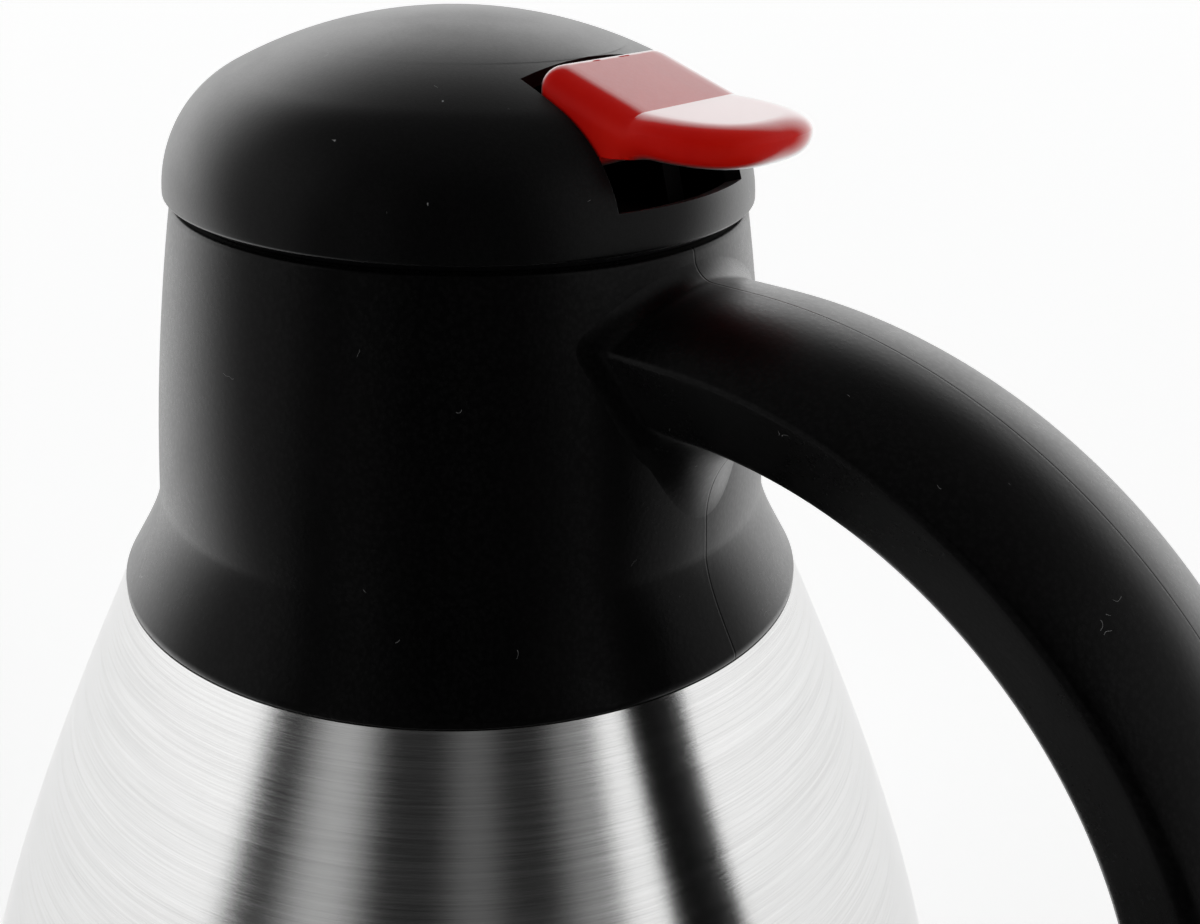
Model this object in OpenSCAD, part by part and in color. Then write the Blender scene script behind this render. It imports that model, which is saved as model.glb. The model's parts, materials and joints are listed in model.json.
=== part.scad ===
// Vacuum jug with a press lever in its domed stopper. Millimetres, +Z up, handle towards +X, beak towards -X.
// The origin is on the jug's axis, on the surface that the foot pad stands on.

/* [Steel body] */
// Height of the collar's rim above the table
rim_z = 119.8; // [112:0.1:130]
// Radius of the steel where it meets the collar's rim
rim_r = 50; // [47:0.5:54]
// Largest radius of the steel bell
bell_r = 81.6; // [76:0.1:86]
// Radius of the steel's lower edge
skirt_r = 79.2; // [74:0.2:80]
// Height of the steel's lower edge above the table
skirt_z = 9; // [8:0.5:12]
// Outer radius of the steel neck tube
neck_r = 33.5; // [32.5:0.1:34]
// Depth of the flask's mouth below the collar's top edge
mouth_drop = 15; // [14:0.2:17]
// Thickness of both steel walls
steel_t = 0.8; // [0.6:0.1:1]
// Vacuum gap between the two neck tubes
neck_gap = 1.3; // [1:0.1:1.5]
// Vacuum gap between the two bells
bell_gap = 5; // [4:0.5:7]

/* [Base] */
// Thickness of the rubber pad
pad_t = 2.5; // [2:0.1:3]
// Radius of the rubber pad
pad_r = 68; // [55:1:72]
// How far the pad stands out of the base cup
pad_proud = 1.2; // [0.8:0.1:1.6]
// Thickness of the base cup's floor
base_t = 2.4; // [1.8:0.1:3]

/* [Collar] */
// Height of the collar from its rim to its top edge
collar_h = 55.2; // [52:0.1:57]
// Outer radius of the collar at its top edge
collar_top_r = 39.6; // [39.2:0.1:40.2]
// Outer radius of the collar just above its flare
collar_low_r = 44.2; // [43:0.1:45.5]
// Height of the flare
flare_h = 13.8; // [12:0.2:16]
// How far the neck bulges past a straight taper
collar_bulge = 0.6; // [0:0.1:1.2]
// Wall of the collar
collar_wall = 2.6; // [2.2:0.1:3]
// Radius of the bore in the top of the collar
collar_bore_r = 37.3; // [37:0.1:37.5]

/* [Handle] */
// Distance of the handle's arc centre from the jug's axis
arc_x = 48.3; // [44:0.1:52]
// Height of the arc's centre above the table
arc_z = 88.8; // [86:0.1:90]
// Radius of the handle's outermost line
arc_r = 82.3; // [80:0.1:84]
// Height of the crown above the crease
crown_h = 5.8; // [4:0.1:8]
// Whole thickness of the handle
handle_t = 16.7; // [14:0.1:19]
// Width at the crease
handle_w = 33.6; // [28:0.2:36]
// Width of the inner face
handle_in_w = 23.6; // [21:0.2:26]
// Wall of the handle's channel
handle_wall = 2.4; // [2:0.1:3]
// Radius of the web under the handle's root
web_r = 14; // [10:0.5:16]
// Thickness of the strip that closes the channel
strip_t = 2; // [1.6:0.1:2.4]

/* [Dome] */
// Gap between the collar and the dome
dome_gap = 1.1; // [0.8:0.1:1.6]
// Radius of the dome's lower edge
dome_r = 40.3; // [40:0.1:41]
// Height of the dome
dome_h = 23.7; // [23:0.1:26]
// Radius of the dome's rounded shoulder
shoulder_r = 18.1; // [15:0.1:19]
// Wall of the dome
dome_wall = 2.2; // [1.8:0.1:2.4]
// Width of the lever's slot
slot_w = 25.4; // [24:0.2:27]
// Gap between the pressed tab and the band of the dome under the slot
tab_clear = 2.9; // [2:0.1:4]
// Distance of the slot's back edge from the axis
slot_back = 21.8; // [21:0.1:22.4]

/* [Lever] */
// Distance of the pivot from the axis
pivot_x = 25; // [24:0.1:26]
// Height of the pivot above the dome's edge
pivot_h = 10.5; // [10:0.1:10.8]
// Distance of the lever's back edge from the axis
lever_back = 23.7; // [23:0.1:24.4]
// Distance of the bend in the lever's top from the axis
bend_x = 37.6; // [36.5:0.1:39]
// Height of that bend above the dome's edge
bend_h = 16.4; // [16:0.1:17]
// Height of the back of the lever's top above the dome's edge
back_h = 20.9; // [20.5:0.1:21.4]
// Distance of the tab's tip from the axis
tip_x = 52.6; // [49:0.1:55]
// Thickness of the tab
tab_t = 5.2; // [4.4:0.1:6]
// How far the lever turns when it is pressed, in degrees
press_deg = 12; // [8:1:12]
// Radius of the pivot pin
pin_r = 1.5; // [1.2:0.1:1.8]

/* [Stopper and valve] */
// Length of the stopper below the dome's edge
cup_len = 41; // [38:0.5:44]
// Wall of the stopper's cup
cup_wall = 2.5; // [2:0.1:3]
// Gap between the stopper and the steel neck
plug_gap = 0.5; // [0.4:0.1:0.8]
// Radius of the valve port
port_r = 8; // [6:0.5:9]
// Radius of the valve stem
stem_r = 2.5; // [2:0.1:2.8]
// Radius of the valve disc
disc_r = 11.5; // [10.5:0.5:13]
// Diameter of the spring's wire
wire_d = 0.9; // [0.7:0.1:1.1]
// Turns of the spring
spring_turns = 8; // [5:1:9]

/* [Hidden] */
$fn = 96;
// Width of the ledge that the collar's rim stands on
ledge_w = 2.8;
// Clearances: between fixed curved faces, of a running pin, and of faces that meet when the stopper is down
fit_gap = 0.3;
run_gap = 0.05;
seat_gap = 0.1;
// Overlap that lets a cutting shape run past a face
past = 1;

collar_top_z = rim_z + collar_h;
mouth_z = collar_top_z - mouth_drop;
dome_z = collar_top_z + dome_gap;
flare_z = rim_z + flare_h;
bore_r = neck_r - 2 * steel_t - neck_gap;
lip_t = steel_t;
nut_z = mouth_z - 8;
flange_t = 3;
gasket_t = 1.5;
ring_z = mouth_z + lip_t + gasket_t;
ring_top_z = collar_top_z - 4;
land_r = 31;
cup_r = bore_r - plug_gap;
cup_z = dome_z - cup_len;
deck_z = collar_top_z + seat_gap;
deck_t = 2;
deck_r = collar_bore_r + 0.9;
arc_in_r = arc_r - handle_t;
crease_r = arc_r - crown_h;
bottom_z = skirt_z + 3.5;
base_z = pad_proud;

// A point of a cubic curve, and the whole curve as a list of points
function cubic(a, b, c, d, t) = pow(1 - t, 3) * a + 3 * pow(1 - t,
    2) * t * b + 3 * (1 - t) * t * t * c + t * t * t * d;
function curve(a, b, c, d, n) = [for (i = [0:n]) cubic(a, b, c, d, i / n)];
// The points of an arc, from one angle to another
function arc(x, z, r, from, to, n) = [for (i = [0:n]) let (q = from + (to - from) * i / n) [x + r * cos(q),
    z + r * sin(q)]];
// An open outline moved sideways by d, to the left of its direction
function moved(p, d) = [for (i = [0:len(p) - 1])
    let (t = p[min(i + 1, len(p) - 1)] - p[max(i - 1, 0)], l = norm(t)) p[i] + d * [-t[1], t[0]] / l];
function reversed(p) = [for (i = [len(p) - 1:-1:0]) p[i]];

// The steel bell, from its lower edge up to the collar's rim: a wide foot that leans in more and more
bell_lean = [-0.425, 0.905];
bell_reach = (rim_z - skirt_z) * 0.3574;
bell = curve([skirt_r, skirt_z], [bell_r + 7.4, skirt_z + 24], [rim_r, rim_z] - bell_reach * bell_lean,
    [rim_r, rim_z], 20);
// The steel under the collar, from the ledge up to the neck tube
shoulder_low = [rim_r - ledge_w, rim_z];
shoulder = curve(shoulder_low, shoulder_low + 12 * bell_lean, [neck_r, mouth_z - 22], [neck_r,
    mouth_z - 12], 8);
outer_line = concat(bell, shoulder, [[neck_r, mouth_z]]);
inner_line = concat(moved(bell, steel_t), moved(shoulder, steel_t), [[neck_r - steel_t, mouth_z]]);

module outer_shell() {
    color("silver") rotate_extrude() polygon(concat(outer_line, reversed(inner_line)));
}

// The disc is dished upwards and turned down at its edge, where it is welded inside the skirt
module shell_bottom() {
    edge_r = skirt_r - steel_t - 0.1;
    color("darkgray") difference() {
        rotate_extrude() polygon([[0, bottom_z + 1.5], [edge_r - 14, bottom_z + 1.5], [edge_r - 9, bottom_z],
            [edge_r, bottom_z], [edge_r, bottom_z - 3], [edge_r - steel_t, bottom_z - 3],
            [edge_r - steel_t, bottom_z - steel_t], [edge_r - 9.4, bottom_z - steel_t],
            [edge_r - 14.4, bottom_z + 1.5 - steel_t], [0, bottom_z + 1.5 - steel_t]]);
        translate([0, 0, bottom_z]) cylinder(r = 2, h = 3);
    }
}

// The plug has a shank in the evacuation hole and a head below it
module vacuum_plug() {
    top = bottom_z + 1.5;
    color("gray") union() {
        translate([0, 0, top - steel_t - 1.2]) cylinder(r = 5, h = 1.2);
        translate([0, 0, top - steel_t - past]) cylinder(r = 1.9, h = steel_t + past);
    }
}

// The inner vessel follows the bell at the vacuum gap. Its mouth lip lies on the outer neck.
flask_foot_z = bottom_z + 8;
flask_r = neck_r - steel_t - neck_gap;
flask_side = [for (p = moved(bell, steel_t + bell_gap)) if (p[1] > flask_foot_z + 12) p];
flask_foot = curve([flask_side[0][0] - 9, flask_foot_z], [flask_side[0][0] - 2.6, flask_foot_z],
    flask_side[0] - [0, 6], flask_side[0], 5);
flask_top = flask_side[len(flask_side) - 1];
flask_shoulder = curve(flask_top, flask_top + 7 * bell_lean, [flask_r, mouth_z - 34], [flask_r,
    mouth_z - 24], 7);
flask_out = concat([[0, flask_foot_z - 2], [40, flask_foot_z - 1]], flask_foot,
    [for (i = [1:len(flask_side) - 1]) flask_side[i]],
        [for (i = [1:len(flask_shoulder) - 1]) flask_shoulder[i]],
    [[flask_r, mouth_z]]);

flask_moved = moved(flask_out, steel_t);
flask_in = concat([[0, flask_foot_z - 2 + steel_t]], [for (i = [1:len(flask_moved) - 2]) flask_moved[i]],
    [[bore_r, mouth_z + lip_t]]);
// The weld between the flask's wall and its bottom is at this point of both lines
weld = 7;

module inner_flask() {
    color("lightgray") rotate_extrude() polygon(concat([for (i = [weld:len(flask_out) - 1]) flask_out[i]],
        [[neck_r, mouth_z], [neck_r, mouth_z + lip_t]],
            reversed([for (i = [weld:len(flask_in) - 1]) flask_in[i]])));
}

module inner_bottom() {
    color("lightgray") rotate_extrude() polygon(concat([for (i = [0:weld]) flask_out[i]],
        reversed([for (i = [0:weld]) flask_in[i]])));
}

// The base cup: floor, a band flush with the steel, a spigot inside the skirt, and the seat of the rubber pad
module base_cup() {
    spigot = skirt_r - steel_t - fit_gap;
    floor_z = pad_t + base_t;
    color([0.09, 0.09, 0.1]) rotate_extrude() polygon([[0, pad_t], [pad_r + fit_gap, pad_t],
        [pad_r + fit_gap, base_z],
        [skirt_r - 2, base_z], [skirt_r - 0.5, base_z + 1.2], [skirt_r, base_z + 3], [skirt_r, skirt_z],
        [spigot, skirt_z], [spigot, skirt_z + 0.3], [spigot - 2, skirt_z + 0.3], [spigot - 2.6, floor_z],
            [0, floor_z]]);
}

module foot_pad() {
    color([0.15, 0.15, 0.15]) rotate_extrude() polygon([[0, 0], [pad_r - 0.8, 0], [pad_r, 0.8], [pad_r,
        pad_t], [0, pad_t]]);
}

// Everything inside the lower part of the steel bell, grown by d: it shapes what stands against the steel
module bell_block(d) {
    top = rim_z - 20;
    rotate(90) rotate_extrude() polygon(concat([[0, skirt_z - 6], [skirt_r + d, skirt_z - 6]],
        [for (p = moved(bell, -d)) if (p[1] < top) p], [[0, top]]));
}

// The handle's frame: x points away from the arc's centre at angle a, z along the arc, upwards
module on_arc(a) {
    translate([arc_x, 0, arc_z]) rotate([0, -a, 0]) children();
}

// Turns a section (x is the distance from the arc's centre, y the width) along the handle's arc
module along_arc(from, to) {
    translate([arc_x, 0, arc_z]) rotate([90, 0, 0]) rotate([0, 0,
        from]) rotate_extrude(angle = to - from) children();
}

// The handle's section, inset by d: the inner face, the crease on each side and the crown over them
crown_r = (pow(handle_w / 2, 2) + crown_h * crown_h) / (2 * crown_h);
crown_a = asin(handle_w / 2 / crown_r);
function section_side(d) = concat([[arc_in_r - (d > 0 ? past : 0), handle_in_w / 2 - d * 1.1],
    [crease_r - d * 0.55, handle_w / 2 - d * 1.1]],
    [for (i = [3:-1:1]) [arc_r - crown_r, 0] + (crown_r - d) * [cos(crown_a * i / 4), sin(crown_a * i / 4)]]);
function mirrored(p) = [for (i = [len(p) - 1:-1:0]) [p[i][0], -p[i][1]]];
function handle_section(d) = concat(section_side(d), [[arc_r - d, 0]], mirrored(section_side(d)));

tab_x = arc_r - 11;
// The screw sits at the lowest angle at which its tab's outer face is this far from the steel
screw_room = 8.5;
screw_a = min([for (a = [-74:-30])
    if (arc_x + tab_x * cos(a) > lookup(arc_z + tab_x * sin(a), [for (p = bell) [p[1],
        p[0]]]) + screw_room) a]);
tab_half = 6.5;
screw_r = 1.5;
channel_top_a = 77;
low_a = -74;

// A steel foot welded to the bell and a tab that reaches into the handle
module handle_bracket() {
    color("gray") difference() {
        union() {
            intersection() {
                difference() {
                    bell_block(1.6);
                    bell_block(0.05);
                }
                on_arc(screw_a) translate([tab_x - 4, -tab_half, -30]) cube([9, 2 * tab_half, 30]);
            }
            difference() {
                on_arc(screw_a) translate([tab_x - 2, -tab_half, -22]) cube([2, 2 * tab_half, 27]);
                bell_block(0.05);
            }
        }
        on_arc(screw_a) translate([tab_x - 6, 0, 0]) rotate([0, 90, 0]) cylinder(r = screw_r + 0.25, h = 12);
    }
}

module handle_screw() {
    head_t = tab_x - 2 - arc_in_r - strip_t - fit_gap;
    color("gray") on_arc(screw_a) translate([tab_x, 0, 0]) rotate([0, 90, 0]) difference() {
        union() {
            translate([0, 0, -2 - head_t]) cylinder(r = 3.1, h = head_t);
            translate([0, 0, -2.5]) cylinder(r = screw_r, h = 9);
        }
        for (q = [0, 90]) rotate(q) translate([-2, -0.4, -2 - head_t - past]) cube([4, 0.8, past + 0.8]);
    }
}

// The neck collar's outer line, from the rim up over the flare to the top edge
collar_flare = curve([rim_r, rim_z + 1.1], [rim_r - 2, rim_z + 4.7], [collar_low_r + 0.7, flare_z - 4.3],
    [collar_low_r, flare_z], 7);
collar_neck = [for (i = [1:8]) let (t = i / 8)
    [collar_low_r + (collar_top_r - collar_low_r) * t + 4 * collar_bulge * t * (1 - t),
    flare_z + (collar_top_z - 0.6 - flare_z) * t]];
collar_line = concat([[rim_r - 0.3, rim_z], [rim_r, rim_z + 0.3]], collar_flare, collar_neck,
    [[collar_top_r - 0.5, collar_top_z]]);

// The space inside the collar: the bore for the ring and the nut, and the skirt over the steel shoulder
flange_z = nut_z - flange_t;
skirt_line = [for (p = moved(concat(collar_flare, collar_neck), collar_wall))
    if (p[1] > rim_z + 3 && p[1] < flange_z - 1) p];
module collar_space() {
    rotate(90) rotate_extrude() polygon(concat([[0, rim_z - past], [rim_r - collar_wall, rim_z - past],
        [rim_r - collar_wall, rim_z + 1]], skirt_line, [[skirt_line[len(skirt_line) - 1][0], flange_z],
        [neck_r + fit_gap, flange_z], [neck_r + fit_gap, nut_z], [collar_bore_r, nut_z],
        [collar_bore_r, collar_top_z + past], [0, collar_top_z + past]]));
}

// The beak runs from the ring's wall out through the collar. Its solid, grown by d all round
beak_root = collar_bore_r - 1.5;
beak_tip = 52;
beak_half = 10.5;
beak_low = ring_top_z - 2.6;
beak_top = collar_top_z - 0.3;
module beak_form(d) {
    hull() {
        translate([-beak_root, -beak_half - d, beak_low - d]) cube([0.5, 2 * (beak_half + d),
            beak_top - beak_low + d]);
        translate([-beak_tip - d, -2.6 - d, beak_top - 1.8 - d]) cube([0.5, 2 * (2.6 + d), 1.8 + d]);
    }
}

// The collar and the handle are one moulding: a revolved sleeve, an arched channel and a web under the root
module collar_and_handle() {
    web_x = collar_low_r - 1 + web_r;
    web_z = arc_z + sqrt(pow(arc_in_r - web_r, 2) - pow(web_x - arc_x, 2));
    touch = [web_x, web_z] + [web_x - arc_x, web_z - arc_z] * web_r / (arc_in_r - web_r);
    root_in = collar_bore_r + 1;
    color([0.07, 0.07, 0.08]) difference() {
        union() {
            rotate(90) rotate_extrude() polygon(concat([[20, rim_z]], collar_line, [[20, collar_top_z]]));
            difference() {
                along_arc(low_a, 90) polygon(handle_section(0));
                along_arc(low_a - 1, channel_top_a) polygon(handle_section(handle_wall));
            }
            translate([arc_x, 0, arc_z]) rotate([0, -90, 0]) linear_extrude(arc_x - root_in)
                polygon(handle_section(0));
            translate([0, handle_in_w / 2 - 0.8, 0]) rotate([90, 0, 0]) linear_extrude(handle_in_w - 1.6)
                difference() {
                    polygon([[root_in, web_z], [web_x, web_z], touch, touch + [0.2, 1],
                        [arc_x, arc_z + arc_in_r + 1], [root_in, arc_z + arc_in_r + 1]]);
                    translate([web_x, web_z]) circle(r = web_r);
                }
            on_arc(screw_a) translate([tab_x + 0.1, 0, 0]) rotate([0, 90, 0])
                cylinder(r = 3.6, h = arc_r - tab_x - 1.5);
        }
        collar_space();
        bell_block(fit_gap);
        on_arc(screw_a) translate([tab_x - past, 0, 0]) rotate([0, 90, 0]) cylinder(r = screw_r + run_gap,
            h = 8.5);
        beak_form(fit_gap);
        translate([-beak_root - 8, -beak_half - fit_gap, beak_top - 0.5]) cube([10,
            2 * (beak_half + fit_gap), 2]);
    }
}

// The strip follows the channel's mouth, flush with the handle's inner face
module handle_cover() {
    slope = (handle_w - handle_in_w) / 2 / (crease_r - arc_in_r);
    half = handle_in_w / 2 - handle_wall * 1.1 - 0.15;
    color([0.07, 0.07, 0.08]) difference() {
        along_arc(low_a, channel_top_a - 0.3) polygon([[arc_in_r, half], [arc_in_r + strip_t,
            half + slope * strip_t],
            [arc_in_r + strip_t, -half - slope * strip_t], [arc_in_r, -half]]);
        bell_block(fit_gap);
    }
}

nut_t = 5;
module neck_nut() {
    outer = collar_bore_r - 0.7;
    color([0.3, 0.3, 0.32]) difference() {
        translate([0, 0, nut_z]) cylinder(r = outer, h = nut_t);
        translate([0, 0, nut_z - past]) cylinder(r = neck_r + fit_gap, h = nut_t + 2 * past);
        for (q = [45:90:315]) rotate(q) translate([outer - 1.4, -nut_t / 2, nut_z + nut_t / 2]) cube(nut_t);
    }
}

module mouth_gasket() {
    color([0.85, 0.85, 0.82]) translate([0, 0, mouth_z + lip_t]) difference() {
        cylinder(r = neck_r - 0.1, h = gasket_t);
        translate([0, 0, -past]) cylinder(r = bore_r + 0.3, h = gasket_t + 2 * past);
    }
}

// The ring: a threaded land round the stopper, a deck, a skirt in the collar's bore and the beak
module pouring_ring() {
    inner = land_r + fit_gap;
    outer = collar_bore_r - 0.2;
    t = 2.2;
    color([0.08, 0.08, 0.09]) difference() {
        union() {
            rotate_extrude() polygon([[inner, ring_z], [inner + t, ring_z], [inner + t, ring_top_z - t],
                [outer - t, ring_top_z - t], [outer - t, nut_z + 5.3], [outer, nut_z + 5.3], [outer,
                    ring_top_z],
                [inner, ring_top_z]]);
            difference() {
                beak_form(0);
                translate([0, 0, beak_low - past]) cylinder(r = outer - 1, h = 12);
            }
        }
        hull() {
            translate([-beak_root - 0.5, 1.6 - beak_half, ring_top_z]) cube([2, 2 * (beak_half - 1.6), 6]);
            translate([-beak_tip - past, -1.4, beak_top - 0.9]) cube([0.5, 2.8, 2]);
        }
    }
}

land_z = ring_z + 0.4;
seal_z = cup_z + 4.5;
seal_h = 5;
floor_t = 2;
window_half = 11;

module stopper_cup() {
    inner = cup_r - cup_wall;
    color([0.12, 0.12, 0.13]) difference() {
        rotate_extrude() polygon([[port_r, cup_z], [cup_r - 1.5, cup_z], [cup_r, cup_z + 1.5], [cup_r,
            seal_z],
            [cup_r - 1.6, seal_z], [cup_r - 1.6, seal_z + seal_h], [cup_r, seal_z + seal_h], [cup_r,
                land_z - 0.9],
            [land_r, land_z], [land_r, deck_z], [inner, deck_z], [inner, cup_z + floor_t], [port_r,
                cup_z + floor_t]]);
        translate([-land_r - past, -window_half, ring_top_z + 0.2]) cube([10, 2 * window_half, 10]);
    }
}

// Two lips on a band
module stopper_seal() {
    out = bore_r - 0.2;
    root = cup_r - 1.5;
    z = seal_z + 0.1;
    h = seal_h - 0.2;
    color([0.85, 0.85, 0.82]) rotate_extrude() polygon([[root, z], [out - 0.9, z], [out, z + 0.8],
        [out - 0.9, z + 1.8],
        [out - 0.9, z + h - 1.8], [out, z + h - 0.8], [out - 0.9, z + h], [root, z + h]]);
}

tube_r = 5.1;
tube_low = 9;
tube_high = 5;
ear_in = 6;
ear_t = 3.4;
ring_groove = 1.6;

// The deck closes the cup and carries the ears of the pivot and the tube that guides the stem
module stopper_deck() {
    step_r = dome_r - dome_wall - fit_gap;
    color([0.12, 0.12, 0.13]) difference() {
        union() {
            rotate_extrude() polygon([[0, deck_z], [deck_r, deck_z], [deck_r, dome_z - 0.2], [step_r,
                dome_z - 0.2],
                [step_r, deck_z + deck_t], [0, deck_z + deck_t]]);
            translate([0, 0, deck_z - tube_low]) cylinder(r = tube_r, h = tube_low + tube_high);
            for (s = [-1, 1]) translate([0, s * (ear_in + ear_t / 2), 0]) rotate([90, 0, 0])
                linear_extrude(ear_t, center = true) union() {
                    translate([pivot_x, dome_z + pivot_h]) circle(r = pin_r + 2);
                    polygon([[pivot_x - 6.5, deck_z + 1], [pivot_x + 6.5, deck_z + 1],
                        [pivot_x + pin_r + 2, dome_z + pivot_h], [pivot_x - pin_r - 2, dome_z + pivot_h]]);
                }
        }
        translate([0, 0, deck_z - tube_low - past]) cylinder(r = stem_r + run_gap,
            h = tube_low + tube_high + 2 * past);
        translate([0, 0, deck_z - tube_low - past]) cylinder(r = stem_r + ring_groove, h = past + 2);
        translate([pivot_x, 0, dome_z + pivot_h]) rotate([90, 0, 0])
            cylinder(r = pin_r + run_gap, h = 40, center = true);
    }
}

module stem_seal() {
    color([0.85, 0.85, 0.82]) translate([0, 0, deck_z - tube_low]) difference() {
        cylinder(r = stem_r + ring_groove - 0.1, h = 1.9);
        translate([0, 0, -past]) cylinder(r = stem_r + run_gap, h = 4);
    }
}

// The dome's line from its edge to the top, inset by d: a round shoulder that runs smoothly into a flatter cap
shoulder_x = dome_r - shoulder_r;
cap_rise = dome_h - shoulder_r;
cap_z = (cap_rise * cap_rise - shoulder_x * shoulder_x) / (2 * cap_rise);
join_a = atan2(-cap_z, shoulder_x);
function dome_line(d) = concat(arc(shoulder_x, dome_z, shoulder_r - d, 0, join_a, 14),
    [for (p = arc(0, dome_z + cap_z, dome_h - cap_z - d, join_a, 90,
        12)) if (p[0] > 0.01 && p[1] > dome_z) p]);
module dome_block(d) {
    rotate_extrude() polygon(concat([[0, dome_z]], dome_line(d), [[0, dome_z + dome_h - d]]));
}

// The band under the slot stays clear of the tab when it is pressed
band_h = bend_h - tab_t - (dome_r - pivot_x) * sin(press_deg) - tab_clear;
cheek_t = 1.6;
module dome_cover() {
    color([0.06, 0.06, 0.07]) difference() {
        union() {
            difference() {
                dome_block(0);
                dome_block(dome_wall);
                translate([0, 0, dome_z - past]) cylinder(r = dome_r - dome_wall, h = past + 0.01);
            }
            intersection() {
                dome_block(dome_wall / 2);
                for (s = [-1, 1]) translate([slot_back, s * (slot_w + cheek_t) / 2 - cheek_t / 2,
                    dome_z + deck_t + 0.2])
                    cube([dome_r, cheek_t, dome_h]);
            }
        }
        translate([slot_back, -slot_w / 2, dome_z + band_h]) cube([dome_r, slot_w, dome_h]);
    }
}

lever_half = slot_w / 2 - fit_gap;
edge_r = 2.5;
skin_t = 2.4;
fork_h = pivot_h - 0.1;
nose_r = 1.9;
arm_half = 5.4;
fork_half = 6.6;
stem_gap = 0.7;

// The rounded pad: four balls at the corners of its top give the sides and the back their round edges
module lever_pad() {
    ball_y = lever_half - edge_r;
    block_y = lever_half - 0.5;
    hull() {
        for (s = [-1, 1]) translate([0, 0, dome_z]) {
            translate([lever_back + edge_r, s * ball_y, back_h - edge_r + 0.4]) sphere(r = edge_r, $fn = 28);
            translate([bend_x + 1, s * ball_y, bend_h - edge_r - 0.4]) sphere(r = edge_r, $fn = 28);
            translate([lever_back + 0.2, s * block_y - 0.5, back_h - 6]) cube([1, 1, 1]);
            translate([bend_x + 0.5, s * block_y - 0.5, bend_h - tab_t]) cube([1, 1, 1]);
        }
    }
}

// The tab's outline seen from above: straight at the bend, rounded more and more towards the tip
function tab_outline(half, reach, n = 2.7) = [for (q = [-90:6:90])
    [bend_x + reach * pow(cos(q), 2 / n), half * sign(q) * pow(abs(sin(q)), 2 / n)]];
module lever_tab() {
    reach = tip_x - bend_x;
    top = dome_z + bend_h;
    hull() {
        translate([0, 0, top - 0.1]) linear_extrude(0.3) polygon(tab_outline(lever_half - edge_r,
            reach - 1.8));
        translate([0, 0, top - 2.6]) linear_extrude(1) polygon(tab_outline(lever_half - 0.6, reach));
        translate([0, 0, top - tab_t]) linear_extrude(0.5) polygon(tab_outline(lever_half - 3.4,
            reach - 3.2));
    }
}

module lever_side(points, half) {
    translate([0, half, 0]) rotate([90, 0, 0]) linear_extrude(2 * half) translate([0,
        dome_z]) polygon(points);
}

module lever() {
    hub_r = pin_r + 2;
    pad_under = back_h - skin_t - 0.6;
    fall = (back_h - bend_h) / (bend_x - lever_back);
    skirt = [[lever_back, back_h - 4], [bend_x, bend_h - 3], [bend_x, bend_h - tab_t], [pivot_x + 4,
        pivot_h - 2.4],
        [pivot_x + 1.2, pivot_h - hub_r], [pivot_x - 1.6, pivot_h - hub_r], [pivot_x - hub_r, pivot_h - 1],
        [pivot_x - hub_r, pivot_h + 2]];
    color([0.72, 0.03, 0.02]) difference() {
        union() {
            difference() {
                union() {
                    lever_pad();
                    lever_tab();
                    lever_side(skirt, lever_half);
                }
                lever_side([[lever_back + skin_t * 0.6, pad_under],
                    [bend_x - 1, pad_under - fall * (bend_x - lever_back - 1)], [bend_x - 1, pivot_h - 6],
                    [pivot_x - 8, pivot_h - 6], [pivot_x - 8, pad_under - 1],
                    [lever_back + skin_t * 0.6, pad_under - 1]], lever_half - skin_t);
            }
            lever_side([[lever_back + 1.6, pad_under + 1], [lever_back + 8, pad_under - 2.4],
                [pivot_x + hub_r, pivot_h - 1], [pivot_x + 1.5, pivot_h - hub_r],
                [pivot_x - 2, pivot_h - hub_r + 0.4], [pivot_x - hub_r, pivot_h]], arm_half);
            translate([pivot_x, 0, dome_z + pivot_h]) rotate([90, 0, 0])
                cylinder(r = hub_r, h = 2 * arm_half, center = true);
            lever_side([[pivot_x, pivot_h + 2.4], [pivot_x, pivot_h - 2], [8, fork_h - nose_r], [5,
                fork_h - nose_r],
                [5, fork_h + 1.2], [14, fork_h + 1.6]], arm_half);
            lever_side([[13, fork_h + 1.2], [13, fork_h - 1.6], [0, fork_h - 1.6], [0, fork_h + 1.2]],
                fork_half);
            translate([0, 0, dome_z + fork_h]) rotate([90, 0, 0]) cylinder(r = nose_r, h = 2 * fork_half,
                center = true);
        }
        translate([pivot_x, 0, dome_z + pivot_h]) rotate([90, 0, 0]) cylinder(r = pin_r + run_gap, h = 40,
            center = true);
        translate([-5, -stem_r - stem_gap, dome_z]) cube([5, 2 * (stem_r + stem_gap), 20]);
        translate([0, 0, dome_z]) cylinder(r = stem_r + stem_gap, h = 20);
    }
}

module lever_pin() {
    color("silver") translate([pivot_x, 0, dome_z + pivot_h]) rotate([90, 0, 0])
        cylinder(r = pin_r, h = 2 * lever_half - 0.4, center = true);
}

seat_z = cup_z + floor_t + seat_gap;
valve_seal_t = 1.5;
disc_z = seat_z + valve_seal_t;
disc_t = 3;
spigot_r = 1.6;
washer_z = dome_z + fork_h + nose_r + 0.2;
washer_t = 1.4;
stem_top_z = washer_z + washer_t + 1.6;

module valve_stem() {
    groove = 0.5;
    color("silver") difference() {
        union() {
            translate([0, 0, disc_z + 0.3]) cylinder(r = spigot_r, h = disc_t);
            translate([0, 0, disc_z + disc_t]) cylinder(r = stem_r, h = stem_top_z - disc_z - disc_t - 0.5);
            translate([0, 0, stem_top_z - 0.5]) cylinder(r1 = stem_r, r2 = stem_r - 0.5, h = 0.5);
        }
        translate([0, 0, washer_z]) difference() {
            cylinder(r = stem_r + past, h = washer_t);
            translate([0, 0, -past]) cylinder(r = stem_r - groove, h = washer_t + 2 * past);
        }
    }
}

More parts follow.
